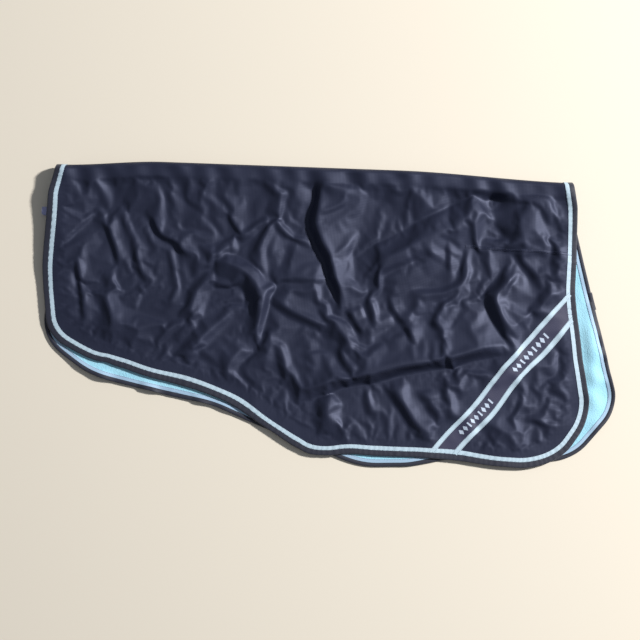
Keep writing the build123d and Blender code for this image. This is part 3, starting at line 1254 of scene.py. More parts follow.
# ------------------------------------------------
# Finishes
# ------------------------------------------------
@dataclass(frozen=True)
class Finish:
    """What every finish has: a name and a way to start and to fill its material."""

    name: str

    def start(self) -> tuple[Material, Tree, Node, Node]:
        """A new material, its tree, its shader and its lay coordinates."""
        material = bpy.data.materials.new(self.name)
        material.use_nodes = True
        tree = material.node_tree
        tree.nodes.clear()
        shader = add_node(tree, "ShaderNodeBsdfPrincipled")
        add_node(tree, "ShaderNodeOutputMaterial", {"Surface": shader.outputs[0]})
        lay = add_node(tree, "ShaderNodeUVMap", uv_map=UV_NAME)
        return material, tree, shader, lay

    @staticmethod
    def paint(
        tree: Tree, shader: Node, share: Socket, first: str, second: str
    ) -> None:
        """Colours a shader between two hex colours by a pattern's share."""
        feeds = {0: share, 6: linear(first), 7: linear(second)}
        mix = add_node(tree, "ShaderNodeMix", feeds, data_type="RGBA")
        tree.links.new(mix.outputs[2], shader.inputs["Base Color"])

    @staticmethod
    def raise_pattern(
        tree: Tree, shader: Node, height: Socket, strength: float, relief: float
    ) -> None:
        """Makes a pattern's height, of this many mm, stand out on a shader."""
        feeds = {"Height": height, "Strength": strength, "Distance": relief * MM}
        bump = add_node(tree, "ShaderNodeBump", feeds)
        tree.links.new(bump.outputs[0], shader.inputs["Normal"])


def woven(tree: Tree, where: Socket, pitch: float) -> Socket:
    """The height of a plain weave: two sets of threads that cross.

    Args:
        tree: the material's tree.
        where: the coordinates, in metres.
        pitch: the distance between threads, in mm.

    Returns:
        A height between 0 and 1.
    """
    scale = WAVE_PERIOD / (pitch * MM)
    warp = add_node(tree, "ShaderNodeTexWave", {"Vector": where, "Scale": scale}, bands_direction="X")
    weft = add_node(tree, "ShaderNodeTexWave", {"Vector": where, "Scale": scale}, bands_direction="Y")
    feeds = {0: warp.outputs["Fac"], 1: weft.outputs["Fac"]}
    return add_node(tree, "ShaderNodeMath", feeds, operation="MULTIPLY").outputs[0]


@dataclass(frozen=True)
class CoatedCloth(Finish):
    """Polyurethane-coated polyester plain weave: a satin face that shows its thread grid and creases."""

    colour: str = "#171a29"
    worn: str = "#202436"
    thread_pitch: float = 3.4  # mm; the real 0.5 mm grid is too fine to show, so it is drawn this coarse
    roughness: float = 0.54

    def material(self) -> Material:
        """Makes the material."""
        material, tree, shader, lay = self.start()
        where = lay.outputs[0]
        weave = woven(tree, where, self.thread_pitch)
        rumple = add_node(
            tree,
            "ShaderNodeTexNoise",
            {"Vector": where, "Scale": 1 / 0.045, "Detail": 4.0, "Roughness": 0.55, "Distortion": 0.6},
            noise_type="RIDGED_MULTIFRACTAL",
        )
        dust = add_node(tree, "ShaderNodeTexNoise", {"Vector": where, "Scale": 1 / 0.11, "Detail": 5.0})
        self.paint(tree, shader, dust.outputs["Fac"], self.colour, self.worn)
        gloss = add_node(
            tree,
            "ShaderNodeMapRange",
            {
                "Value": dust.outputs["Fac"],
                "From Min": 0.3,
                "From Max": 0.7,
                "To Min": self.roughness - 0.05,
                "To Max": self.roughness + 0.07,
            },
        )
        grid = add_node(tree, "ShaderNodeBump", {"Height": weave, "Strength": 0.35, "Distance": 0.25 * MM})
        feeds = {"Height": rumple.outputs["Fac"], "Strength": 0.40, "Distance": 1.6 * MM}
        crumple = add_node(tree, "ShaderNodeBump", feeds | {"Normal": grid.outputs[0]})
        tree.links.new(gloss.outputs[0], shader.inputs["Roughness"])
        tree.links.new(crumple.outputs[0], shader.inputs["Normal"])
        shader.inputs["IOR"].default_value = 1.5
        shader.inputs["Specular Tint"].default_value = linear("#c3cbee")
        return material


@dataclass(frozen=True)
class Fleece(Finish):
    """Brushed polyester fleece: a matt, pale pile with small tufts."""

    colour: str = "#a2d6e8"
    shade: str = "#84bfd6"
    tuft: float = 2.6  # mm across

    def material(self) -> Material:
        """Makes the material."""
        material, tree, shader, lay = self.start()
        where = lay.outputs[0]
        tufts = add_node(tree, "ShaderNodeTexVoronoi", {"Vector": where, "Scale": 1 / (self.tuft * MM)})
        pile = add_node(tree, "ShaderNodeTexNoise", {"Vector": where, "Scale": 1 / 0.004, "Detail": 3.0})
        broad = add_node(tree, "ShaderNodeTexNoise", {"Vector": where, "Scale": 1 / 0.06, "Detail": 3.0})
        feeds = {0: tufts.outputs["Distance"], 1: pile.outputs["Fac"]}
        both = add_node(tree, "ShaderNodeMath", feeds, operation="ADD")
        feeds = {0: both.outputs[0], 1: broad.outputs["Fac"]}
        blend = add_node(tree, "ShaderNodeMath", feeds, operation="MULTIPLY")
        self.paint(tree, shader, blend.outputs[0], self.colour, self.shade)
        self.raise_pattern(tree, shader, both.outputs[0], strength=0.6, relief=1.0)
        shader.inputs["Roughness"].default_value = 0.95
        shader.inputs["Sheen Weight"].default_value = 0.5
        shader.inputs["Sheen Roughness"].default_value = 0.6
        return material


@dataclass(frozen=True)
class Tape(Finish):
    """Woven polyester tape or webbing: ribs across its length, slightly glossy thread."""

    colour: str = "#0f1326"
    fleck: str = "#1a203c"
    rib: float = 2.4  # mm; real ribs of about 0.8 mm are drawn this coarse so that they show
    slant: float = 0.0  # radians that the ribs are turned, as in a twill
    roughness: float = 0.62

    def material(self) -> Material:
        """Makes the material."""
        material, tree, shader, lay = self.start()
        turned = add_node(
            tree, "ShaderNodeMapping", {"Vector": lay.outputs[0], "Rotation": (0.0, 0.0, self.slant)}
        )
        where = turned.outputs[0]
        ribs = woven(tree, where, self.rib)
        wear = add_node(tree, "ShaderNodeTexNoise", {"Vector": where, "Scale": 1 / 0.02, "Detail": 4.0})
        both = add_node(tree, "ShaderNodeMath", {0: ribs, 1: wear.outputs["Fac"]}, operation="MULTIPLY")
        self.paint(tree, shader, both.outputs[0], self.colour, self.fleck)
        self.raise_pattern(tree, shader, ribs, strength=0.5, relief=0.4)
        shader.inputs["Roughness"].default_value = self.roughness
        shader.inputs["Sheen Weight"].default_value = 0.2
        return material


@dataclass(frozen=True)
class Thread(Finish):
    """Spun polyester sewing thread: a twisted two-ply yarn, softly glossy."""

    colour: str = "#20263f"
    ply_shade: str = "#3a4060"
    twist: float = 0.8  # mm per turn

    def material(self) -> Material:
        """Makes the material."""
        material, tree, shader, _ = self.start()
        where = add_node(tree, "ShaderNodeTexCoord").outputs["Object"]
        ply = add_node(
            tree,
            "ShaderNodeTexWave",
            {"Vector": where, "Scale": WAVE_PERIOD / (self.twist * MM)},
            bands_direction="DIAGONAL",
        )
        self.paint(tree, shader, ply.outputs["Fac"], self.colour, self.ply_shade)
        self.raise_pattern(tree, shader, ply.outputs["Fac"], strength=0.4, relief=0.1)
        shader.inputs["Roughness"].default_value = 0.5
        return material


@dataclass(frozen=True)
class StudioFloor(Finish):
    """Plain pale painted board for the floor."""

    colour: str = "#d8d0c2"

    def material(self) -> Material:
        """Makes the material."""
        material, tree, shader, _ = self.start()
        shader.inputs["Base Color"].default_value = linear(self.colour)
        shader.inputs["Roughness"].default_value = 0.85
        return material


@dataclass
class Wardrobe:
    """Every material of the rug, made once, with what each gives the eye."""

    # dark navy satin: broad soft highlights on every crease
    shell: Material = field(default_factory=CoatedCloth("coated_polyester_satin").material)
    # pale turquoise pile: no highlight at all, and a soft bright rim
    fleece: Material = field(default_factory=Fleece("brushed_polyester_fleece").material)
    # nearly black navy twill, duller than the shell it bounds
    binding: Material = field(default_factory=Tape("polyester_twill_binding", slant=0.8).material)
    # pale grey-blue ribs, the brightest lines of the rug
    pale: Material = field(
        default_factory=Tape("woven_pale_tape", colour="#a6bccb", fleck="#c6d8e2", rib=2.2).material
    )
    # a flat mid blue next to the fleece
    facing: Material = field(
        default_factory=Tape("cotton_herringbone_facing", colour="#93afc9", fleck="#aac6dc", rib=2.0).material
    )
    # a navy a little warmer than the shell, with coarse ribs
    webbing: Material = field(
        default_factory=Tape("polypropylene_webbing", colour="#232440", fleck="#343757", rib=2.6).material
    )
    # pale yarn woven into the webbing
    motif: Material = field(
        default_factory=Tape("woven_motif_yarn", colour="#aab8cc", fleck="#cdd9e6", rib=1.8).material
    )
    # limp lilac-grey webbing; part of its paleness is painted light, lightened so the loop looks lit where
    # the rug's edge shades it
    loop: Material = field(
        default_factory=Tape("loop_webbing_lightened_as_lit", colour="#8a8fba", fleck="#aab0d2", rib=2.2).material
    )
    # smooth grey film, the only glossy piece, out of sight between the layers
    seal: Material = field(
        default_factory=Tape("heat_seal_tape", colour="#6d7078", fleck="#80838c", roughness=0.3).material
    )
    # navy two-ply thread that shows as small soft beads along the tapes
    thread: Material = field(default_factory=Thread("spun_polyester_thread").material)


# ------------------------------------------------
# How pieces follow the fold
# ------------------------------------------------
@dataclass
class Motion:
    """Ties pieces to the two halves; pieces of the fold are only baked in place."""

    cloth: Cloth
    joint: str = "spine_fold"
    flat_share: float = 0.22  # of its height that the near half's relief keeps when the rug is laid open
    hinge_low: float = 4.5  # mm over the ground where the fold starts to bend
    hinge_high: float = 29.5  # mm over the ground where it has bent all the way

    def near(self, piece: Piece, depth: float) -> None:
        """Rides a piece on the near half, on its own copy of its mesh.

        Args:
            piece: the piece.
            depth: how far inside the outer face the layer lies that keeps its place at the fold, in mm; not
                used.
        """
        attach(piece, Side.NEAR.body)
        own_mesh(piece)

    def off(self, piece: Piece) -> None:
        """Rides a piece on the off half."""
        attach(piece, Side.OFF.body)

    def fold(self, piece: Piece) -> None:
        """Bakes a piece's placement into its mesh; it rides on neither half."""
        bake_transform(piece)

    def tie(self, piece: Piece, label: str, depth: float = 0.0) -> None:
        """Ties a piece to the half that its label names, or bakes a piece of the fold in place."""
        if label == "near":
            self.near(piece, depth)
        elif label == "off":
            self.off(piece)
        else:
            self.fold(piece)


@dataclass(frozen=True)
class Trade:
    """What a kind of piece is called, the name of its slot, what it is made of and how it rides."""

    name: str
    slot: str
    finish: Material
    kept_depth: float = 0.0  # mm inside the outer face that keeps its place at the fold
    stands_for_cad: bool = True

    def make(self, motion: Motion, label: str, pattern: Pattern) -> Piece:
        """Makes one piece, ties it to the bodies and takes the place of its CAD nodes.

        Args:
            motion: ties the piece to the bodies.
            label: near, off, or fold for a piece that bridges both halves.
            pattern: the piece's mesh.

        Returns:
            The piece.
        """
        piece = make_object(f"{label}_{self.name}", faced_outwards(pattern), self.finish)
        motion.tie(piece, label, self.kept_depth)
        if self.stands_for_cad:
            halves = ("near", "off") if label == "fold" else (label,)
            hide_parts(*(f"{half}_{self.name}" for half in halves))
        LOG.info("%s: %d faces", piece.name, len(piece.data.polygons))
        return piece


# ------------------------------------------------
# Sub-assemblies
# ------------------------------------------------
@dataclass
class Layer:
    """The outer shell or the lining: a panel for each half and the strip that bends at the spine."""

    cloth: Cloth
    edge: Edge
    motion: Motion
    trade: Trade
    outer: float  # mm from the rug's outer face to the layer's outer face
    inner: float  # mm from the rug's outer face to the layer's inner face
    edge_in: float  # mm that the layer ends inside the rug's edge
    size: tuple[int, int]  # rows and columns of the near panel's net
    off_size: tuple[int, int]
    fold_rows: int
    lining: bool = False
    coarse: int = 1
    pieces: dict[str, Piece] = field(default_factory=dict)

    def nets(self) -> dict[str, Array]:
        """The nets of the near panel, the off panel and the strip of the fold."""
        still, columns = self.cloth.still, self.size[1]
        runs, edge_in = self.edge.runs, self.edge_in
        near = panel_net(runs[Part.NEAR], edge_in, still, [(1300, 675), (-2, 432)], self.size)
        off = panel_net(runs[Part.OFF], edge_in, -still, [(2, -485), (1335, -650)], self.off_size)
        front, tail = (self.edge.runs[p].offset(self.edge_in) for p in (Part.FRONT_FOLD, Part.TAIL_FOLD))
        front[0, 1], front[-1, 1], tail[0, 1], tail[-1, 1] = still, -still, -still, still
        levels = np.linspace(-still, still, self.fold_rows)
        left = np.interp(-levels, -front[:, 1], front[:, 0])
        right = np.interp(levels, tail[:, 1], tail[:, 0])
        share = np.linspace(0, 1, columns)
        behind = left[:, None] * (1 - share) + right[:, None] * share
        fold = np.stack([behind, np.tile(levels[:, None], columns)], -1)
        return {"near": near, "off": off, "fold": fold}

    def build(self) -> None:
        """Builds and ties the three pieces."""
        for label, net in self.nets().items():
            coarse = self.coarse if label == "near" else 1
            pattern = Slab(self.cloth, net, self.outer, self.inner, self.lining, coarse).pattern()
            self.pieces[label] = self.trade.make(self.motion, label, pattern)

    def declare(self) -> None:
        for label, net in self.nets().items():
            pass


@dataclass
class BindingLap:
    """The place on the off half's tail edge where the binding's end laps over its start."""

    cloth: Cloth
    edge: Edge
    motion: Motion
    finish: Material
    middle: tuple[float, float] = (1311.0, -303.0)
    length: float = 46.0
    lift: float = 0.8  # mm that the lap stands proud of the binding
    shift: float = 2.6  # mm that the lap is sewn further out
    mid_depth: float = 2.0  # mm, the middle of the binding's thickness

    def build(self) -> Piece:
        """Builds the lap round the edge."""
        run = self.edge.runs[Part.OFF]
        centre = int(np.argmin(np.hypot(*(run.points - np.array(self.middle)).T)))
        reach = int(self.length / 2 / self.edge.spacing)
        stretch = slice(centre - reach, centre + reach + 1)
        lifts = [-self.lift if depth < self.mid_depth else self.lift for _, depth in BINDING]
        section = [(inside - self.shift, depth + lift) for (inside, depth), lift in zip(BINDING, lifts)]
        pattern = Strip(self.cloth, section).pattern(Run(run.points[stretch], run.inward[stretch]))
        trade = Trade("binding_lap", "binding_tape", self.finish, stands_for_cad=False)
        return trade.make(self.motion, "off", pattern)


@dataclass
class EdgeTrim:
    """A tape, binding or facing that runs all the way round the edge."""

    cloth: Cloth
    edge: Edge
    motion: Motion
    trade: Trade
    section: list[tuple[float, float]]
    pucker: float = 0.0
    pieces: dict[str, Piece] = field(default_factory=dict)

    def build(self) -> None:
        """Builds the trim's near, off and folded stretches."""
        strip = Strip(self.cloth, self.section, self.pucker)
        made = {part: faced_outwards(strip.pattern(run)) for part, run in self.edge.runs.items()}
        folded = join_patterns([made[Part.FRONT_FOLD], made[Part.TAIL_FOLD]])
        for label, pattern in {"near": made[Part.NEAR], "off": made[Part.OFF], "fold": folded}.items():
            self.pieces[label] = self.trade.make(self.motion, label, pattern)


@dataclass
class BandLine:
    """The centre line of the diagonal band over the thigh, the same on both halves, in plan."""

    low: tuple[float, float] = BAND_LOW
    high: tuple[float, float] = BAND_HIGH
    overrun: float = 45.0  # mm past both ends, to be cut by the edge
    spacing: float = 3.6

    def run(self, side: Side, cloth: Cloth, shift: float, limit: Array) -> Run:
        """The band's line on a half, moved sideways and cut where it meets the edge.

        Args:
            side: the half.
            cloth: the cloth it lies on.
            shift: how far the line is moved towards the hem's tail corner, in mm.
            limit: the closed outline, in the lay, that the line stays inside.

        Returns:
            The run, whose inward direction points to the spine.
        """
        low, high = np.array(self.low), np.array(self.high)
        along = (high - low) / np.hypot(*(high - low))
        over = np.array([-along[1], along[0]])
        count = int((np.hypot(*(high - low)) + 2 * self.overrun) / self.spacing)
        t = np.linspace(-self.overrun, np.hypot(*(high - low)) + self.overrun, count)[:, None]
        line = low + along * t + over * shift
        lay = np.stack([line[:, 0], side.value * cloth.across(line[:, 1])], -1)
        kept = lay[inside_of(lay, limit)]
        inward = np.tile(np.array([over[0], over[1] * side.value]), (len(kept), 1))
        return Run(kept, inward)


def inside_of(points: Array, outline: Array) -> Array:
    """Which points lie inside a closed outline, by counting crossings.

    Args:
        points: the points, as rows.
        outline: the outline's points in order.

    Returns:
        True for each point inside.
    """
    found = np.zeros(len(points), bool)
    x, y = points[:, 0], points[:, 1]
    for (x0, y0), (x1, y1) in zip(outline, np.roll(outline, -1, 0)):
        if y0 == y1:
            continue
        crosses = ((y0 > y) != (y1 > y)) & (x < (x1 - x0) * (y - y0) / (y1 - y0) + x0)
        found ^= crosses
    return found


@dataclass
class DiagonalBand:
    """The band over the thigh on one half: a navy webbing between two pale tapes, with a woven motif."""

    cloth: Cloth
    edge: Edge
    motion: Motion
    wardrobe: Wardrobe
    side: Side
    webbing_width: float = 33.0
    tape_width: float = 12.0
    tuck: float = 2.0  # mm of the webbing that lies under the tapes
    motif_starts: tuple[float, float] = (62.0, 268.0)  # mm up the band
    motif_count: int = 9
    motif_pitch: float = 13.5
    line: BandLine = field(default_factory=BandLine)

    def outline(self, inside: float) -> Array:
        """The half's closed outline this far inside its edge, in the lay."""
        return self.edge.runs[self.side.part].offset(inside)

    def lay_strip(self, shift: float, width: float, height: float) -> Pattern:
        """Lays one tape of the band on the shell.

        Args:
            shift: how far from the band's centre line, in mm.
            width: its width, in mm.
            height: how far it stands out from the shell, in mm.

        Returns:
            The tape as a closed strip.
        """
        run = self.line.run(self.side, self.cloth, shift, self.outline(13.0))
        half = width / 2
        steps = max(3, int(width / 4))
        face = [(x, -height) for x in np.linspace(-half + 0.5, half - 0.5, steps)]
        section = [(-half, 0.35), *face, (half, 0.35), (half, 0.7), (0.0, 0.7), (-half, 0.7)]
        return faced_outwards(Strip(self.cloth, section).pattern(run))

    def build(self) -> None:
        """Builds the webbing, its two tapes and the motif."""
        gap, looks = (self.webbing_width + self.tape_width) / 2, self.wardrobe
        webbing = self.lay_strip(0.0, self.webbing_width + self.tuck, 0.4)
        tapes = join_patterns([self.lay_strip(s * gap, self.tape_width, 0.75) for s in (-1, 1)])
        for trade, pattern in (
            (Trade("diagonal_webbing", "band_webbing", looks.webbing), webbing),
            (Trade("diagonal_tapes", "pale_tape", looks.pale), tapes),
            (Trade("band_motif", "pale_tape", looks.motif, stands_for_cad=False), self.motif()),
        ):
            trade.make(self.motion, self.side.label, pattern)

    def stitch_lines(self) -> list[Array]:
        """The rows of stitches along both edges of both tapes, in metres."""
        gap, edge = (self.webbing_width + self.tape_width) / 2, self.tape_width / 2 - 1.4
        found = []
        for shift in (-gap - edge, -gap + edge, gap - edge, gap + edge):
            line = self.line.run(self.side, self.cloth, shift, self.outline(14.0)).points
            found.append(self.cloth.place(line[:, 0], line[:, 1], -0.8))
        return found

    def motif(self) -> Pattern:
        """Two rows of plain woven lozenges and bars, one at each end of the webbing."""
        low, high = np.array(self.line.low), np.array(self.line.high)
        length = float(np.hypot(*(high - low)))
        along, shapes = (high - low) / length, []
        over = np.array([-along[1], along[0]])
        for start in self.motif_starts:
            for k in range(self.motif_count):
                centre = low + along * (start + self.motif_pitch * k)
                if k % 3 == 2:
                    outline = [(-2.2, -7.5), (2.2, -7.5), (2.2, 7.5), (-2.2, 7.5)]
                else:
                    outline = [(-5.4, 0.0), (0.0, -8.5), (5.4, 0.0), (0.0, 8.5)]
                shapes.append(self.inlay([centre + along * a + over * b for a, b in outline]))
        return join_patterns(shapes)

    def inlay(self, outline: list[Array]) -> Pattern:
        """Makes one thin raised shape on the webbing.

        Args:
            outline: its four corners in plan, in mm.

        Returns:
            The shape, closed.
        """
        corners = np.array(outline)
        steps = np.linspace(0, 1, 4)
        grid = []
        for t in steps:
            a, b = corners[0] * (1 - t) + corners[3] * t, corners[1] * (1 - t) + corners[2] * t
            grid.append([a * (1 - u) + b * u for u in steps])
        net = np.array(grid)
        net = np.stack([net[..., 0], self.side.value * self.cloth.across(net[..., 1])], -1)
        return faced_outwards(Slab(self.cloth, net, -0.9, 0.1).pattern())


@dataclass
class RumpSeam:
    """The short seam over the croup of one half: a felled seam on the shell, sealed behind."""

    cloth: Cloth
    edge: Edge
    motion: Motion
    wardrobe: Wardrobe
    side: Side
    drop: float = 178.0
    start: float = 1007.0
    tape_width: float = 22.0
    fell_width: float = 7.0

    def run(self) -> Run:
        """The seam's line from its blind end to the edge."""
        outline = self.edge.runs[self.side.part].offset(11.0)
        behind = np.arange(self.start, 1400, 3.6)
        across = self.side.value * (self.cloth.across(np.full_like(behind, self.drop)))
        points = np.stack([behind, across], -1)
        points = points[inside_of(points, outline)]
        return Run(points, np.tile(np.array([0.0, -1.0 * self.side.value]), (len(points), 1)))

    def stitch_lines(self) -> list[Array]:
        """The two rows of stitches of the felled seam, in metres."""
        run = self.run()
        return [self.cloth.place(*run.offset(inside).T, -0.35) for inside in (-2.6, 2.2)]

    def build(self) -> None:
        """Builds the fell and the sealing tape under it."""
        half, wide, looks = self.fell_width / 2, self.tape_width / 2, self.wardrobe
        fell = [(-half, 0.35), (-half + 0.5, -0.5), (0.0, -0.35), (half - 0.8, 0.0), (half, 0.35)]
        fell += [(half, 0.7), (-half, 0.7)]
        seal = [(x, 1.05) for x in np.linspace(-wide, wide, 6)]
        seal += [(x, 1.35) for x in np.linspace(wide, -wide, 6)]
        for trade, section in (
            (Trade("rump_seam_fell", "shell_cloth", looks.shell, 1.0, stands_for_cad=False), fell),
            (Trade("rump_seam_tape", "seam_seal", looks.seal, 1.0), seal),
        ):
            trade.make(self.motion, self.side.label, Strip(self.cloth, section).pattern(self.run()))


@dataclass
class FrontLoop:
    """The soft loop that is sewn into the front edge of one half for the chest strap."""

    cloth: Cloth
    motion: Motion
    wardrobe: Wardrobe
    side: Side
    width: float = 30.0
    thickness: float = 1.2
    turn_radius: float = 1.1  # mm, of the bend at the loop's end
    steps: int = 18  # along each of its two layers
    rows: int = 9  # across it
    droop: float = 5.0  # mm that the end hangs lower than the edge, on the near half
    lain: float = 2.4  # mm that it falls on the off half, which lies on the ground
    pinch: float = 0.42  # share of its width that the end is gathered by
    sway: float = 3.0  # mm that the end lies to one side
    curl: float = 0.9  # mm that its edges curl at the end
    stretch: float = 3.0  # mm that the limp loop reaches further out than its CAD solid
    under: float = 6.4  # mm below the outer face, where the loop leaves the near half's edge
    over: float = 1.4  # mm above its CAD solid's lowest point, where it leaves the off half's edge

    def middle_surface(self) -> tuple[Array, Array]:
        """The loop's middle surface, out along the top and back underneath.

        Returns:
            The points in mm, as rows x columns x 3, and where each lies on the webbing, in metres.
        """
        low, high = (np.array(v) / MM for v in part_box(f"{self.side.label}_front_loop"))
        length, middle = high[0] - low[0] + self.stretch, (low[1] + high[1]) / 2
        level, drop = low[2] + self.over, self.lain
        if self.side is Side.NEAR:
            below = self.cloth.across(np.array([self.cloth.crest - middle]))
            level, drop = self.cloth.place(np.array([12.0]), below, self.under)[0, 2] / MM, self.droop
        out = np.linspace(0, 1, self.steps)
        share = np.concatenate([out, out[::-1]])[:, None]
        lift = np.repeat([self.turn_radius, -self.turn_radius], self.steps)[:, None] * (1 - 0.25 * share)
        side = np.linspace(-1, 1, self.rows)[None]
        width = self.width / 2 * (1 - self.pinch * rise(share, 0.2, 0.8))
        x = high[0] - length * share
        y = middle + side * width + self.sway * share**2
        z = level - drop * share**2 + lift + self.curl * np.cos(side * math.pi) * share
        net = np.stack(np.broadcast_arrays(x, y, z), -1)
        lay = np.stack(np.broadcast_arrays(share * length, side * self.width / 2), -1)
        return net, lay.reshape(-1, 2) * MM

    def pattern(self) -> Pattern:
        """The loop's mesh: the middle surface with its thickness, closed at its rim."""
        net, lay = self.middle_surface()
        step = np.gradient(net[:, self.rows // 2], axis=0)
        normal = np.stack([-step[:, 2], np.zeros(len(step)), step[:, 0]], -1)
        normal /= np.linalg.norm(normal, axis=1)[:, None]
        half = normal[:, None] * self.thickness / 2
        quads, rim = net_faces(*net.shape[:2])
        size = len(lay)
        back = [tuple(i + size for i in quad[::-1]) for quad in quads]
        wall = [(i, j, j + size, i + size) for i, j in zip(rim.tolist(), np.roll(rim, -1).tolist())]
        points = np.vstack([(net - half).reshape(-1, 3), (net + half).reshape(-1, 3)]) * MM
        return faced_outwards(Pattern(points, quads + back + wall, np.vstack([lay, lay])))

    def build(self) -> None:
        """Builds the loop where its CAD solid lies, with a drooping, slightly pinched end."""
        name = f"{self.side.label}_front_loop"
        piece = make_object(name, self.pattern(), self.wardrobe.loop)
        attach(piece, self.side.body)
        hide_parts(name)
        LOG.info("%s: %d faces", piece.name, len(piece.data.polygons))


# ------------------------------------------------
# Stitches
# ------------------------------------------------
@dataclass
class StitchTree:
    """A Geometry Nodes tree that lays stitches along seam lines."""

    name: str = "lay_stitches"
    shortest: float = 0.85  # the range of a stitch's length, as shares of the length that is set
    longest: float = 1.1
    seed: int = 7

    def build(self) -> Tree:
        """Builds the tree with its named inputs."""
        tree = bpy.data.node_groups.new(self.name, "GeometryNodeTree")
        tree.interface.new_socket("Geometry", in_out="INPUT", socket_type="NodeSocketGeometry")
        for name, kind in (
            ("Stitch Pitch", "NodeSocketFloat"),
            ("Stitch Length", "NodeSocketFloat"),
            ("Thread Width", "NodeSocketFloat"),
            ("Thread", "NodeSocketMaterial"),
        ):
            tree.interface.new_socket(name, in_out="INPUT", socket_type=kind)
        tree.interface.new_socket("Geometry", in_out="OUTPUT", socket_type="NodeSocketGeometry")
        start = add_node(tree, "NodeGroupInput")
        line = add_node(tree, "GeometryNodeMeshToCurve", {"Mesh": start.outputs["Geometry"]})
        dots = add_node(
            tree,
            "GeometryNodeResampleCurve",
            {"Curve": line.outputs[0], "Length": start.outputs["Stitch Pitch"]},
            mode="LENGTH",
        )
        tangent = add_node(tree, "GeometryNodeInputTangent")
        aim = add_node(tree, "FunctionNodeAlignRotationToVector", {"Vector": tangent.outputs[0]}, axis="X")
        long, wide = start.outputs["Stitch Length"], start.outputs["Thread Width"]
        half = add_node(tree, "ShaderNodeMath", {0: long, 1: 0.5}, operation="MULTIPLY")
        thick = add_node(tree, "ShaderNodeMath", {0: wide, 1: 0.5}, operation="MULTIPLY")
        # Random Value has sockets for each type: inputs 2 and 3 and output 1 are the float ones
        feeds = {2: self.shortest, 3: self.longest, "Seed": self.seed}
        vary = add_node(tree, "FunctionNodeRandomValue", feeds, data_type="FLOAT")
        feeds = {0: half.outputs[0], 1: vary.outputs[1]}
        length = add_node(tree, "ShaderNodeMath", feeds, operation="MULTIPLY")
        feeds = {"X": length.outputs[0], "Y": thick.outputs[0], "Z": thick.outputs[0]}
        size = add_node(tree, "ShaderNodeCombineXYZ", feeds)
        bead = add_node(tree, "GeometryNodeMeshUVSphere", {"Segments": 6, "Rings": 4, "Radius": 1.0})
        laid = add_node(
            tree,
            "GeometryNodeInstanceOnPoints",
            {
                "Points": dots.outputs[0],
                "Instance": bead.outputs[0],
                "Rotation": aim.outputs[0],
                "Scale": size.outputs[0],
            },
        )
        real = add_node(tree, "GeometryNodeRealizeInstances", {"Geometry": laid.outputs[0]})
        smooth = add_node(tree, "GeometryNodeSetShadeSmooth", {"Geometry": real.outputs[0]})
        dressed = add_node(
            tree,
            "GeometryNodeSetMaterial",
            {"Geometry": smooth.outputs[0], "Material": start.outputs["Thread"]},
        )
        add_node(tree, "NodeGroupOutput", {"Geometry": dressed.outputs[0]})
        return tree


@dataclass
class Stitching:
    """Rows of stitches on one half or on the fold, made plain mesh from the tree."""

    tree: Tree
    pitch: float = 4.0
    length: float = 2.9
    width: float = 0.7

    def sew(self, name: str, lines: list[Array], thread: Material) -> Piece:
        """Lays stitches along lines.

        Args:
            name: the piece's name.
            lines: the seam lines, as rows of points in metres.
            thread: the thread's material.

        Returns:
            A plain mesh object with no modifier.
        """
        points, pairs = [], []
        for line in lines:
            first = len(points)
            points += line.tolist()
            pairs += [(first + k, first + k + 1) for k in range(len(line) - 1)]
        guide = bpy.data.meshes.new(f"{name}_guide")
        guide.from_pydata(points, pairs, [])
        holder = bpy.data.objects.new(f"{name}_guide", guide)
        modifier = holder.modifiers.new("stitches", "NODES")
        modifier.node_group = self.tree
        values = {
            "Stitch Pitch": self.pitch * MM,
            "Stitch Length": self.length * MM,
            "Thread Width": self.width * MM,
            "Thread": thread,
        }
        for item in self.tree.interface.items_tree:
            if item.name in values and item.in_out == "INPUT":
                modifier[item.identifier] = values[item.name]
        bpy.context.scene.collection.objects.link(holder)
        evaluated = holder.evaluated_get(bpy.context.evaluated_depsgraph_get())
        mesh = bpy.data.meshes.new_from_object(evaluated)
        mesh.name = name
        holder.modifiers.clear()
        bpy.data.objects.remove(holder)
        bpy.data.meshes.remove(guide)
        piece = bpy.data.objects.new(name, mesh)
        bpy.context.scene.collection.objects.link(piece)
        LOG.info("%s: %d faces", name, len(mesh.polygons))
        return piece


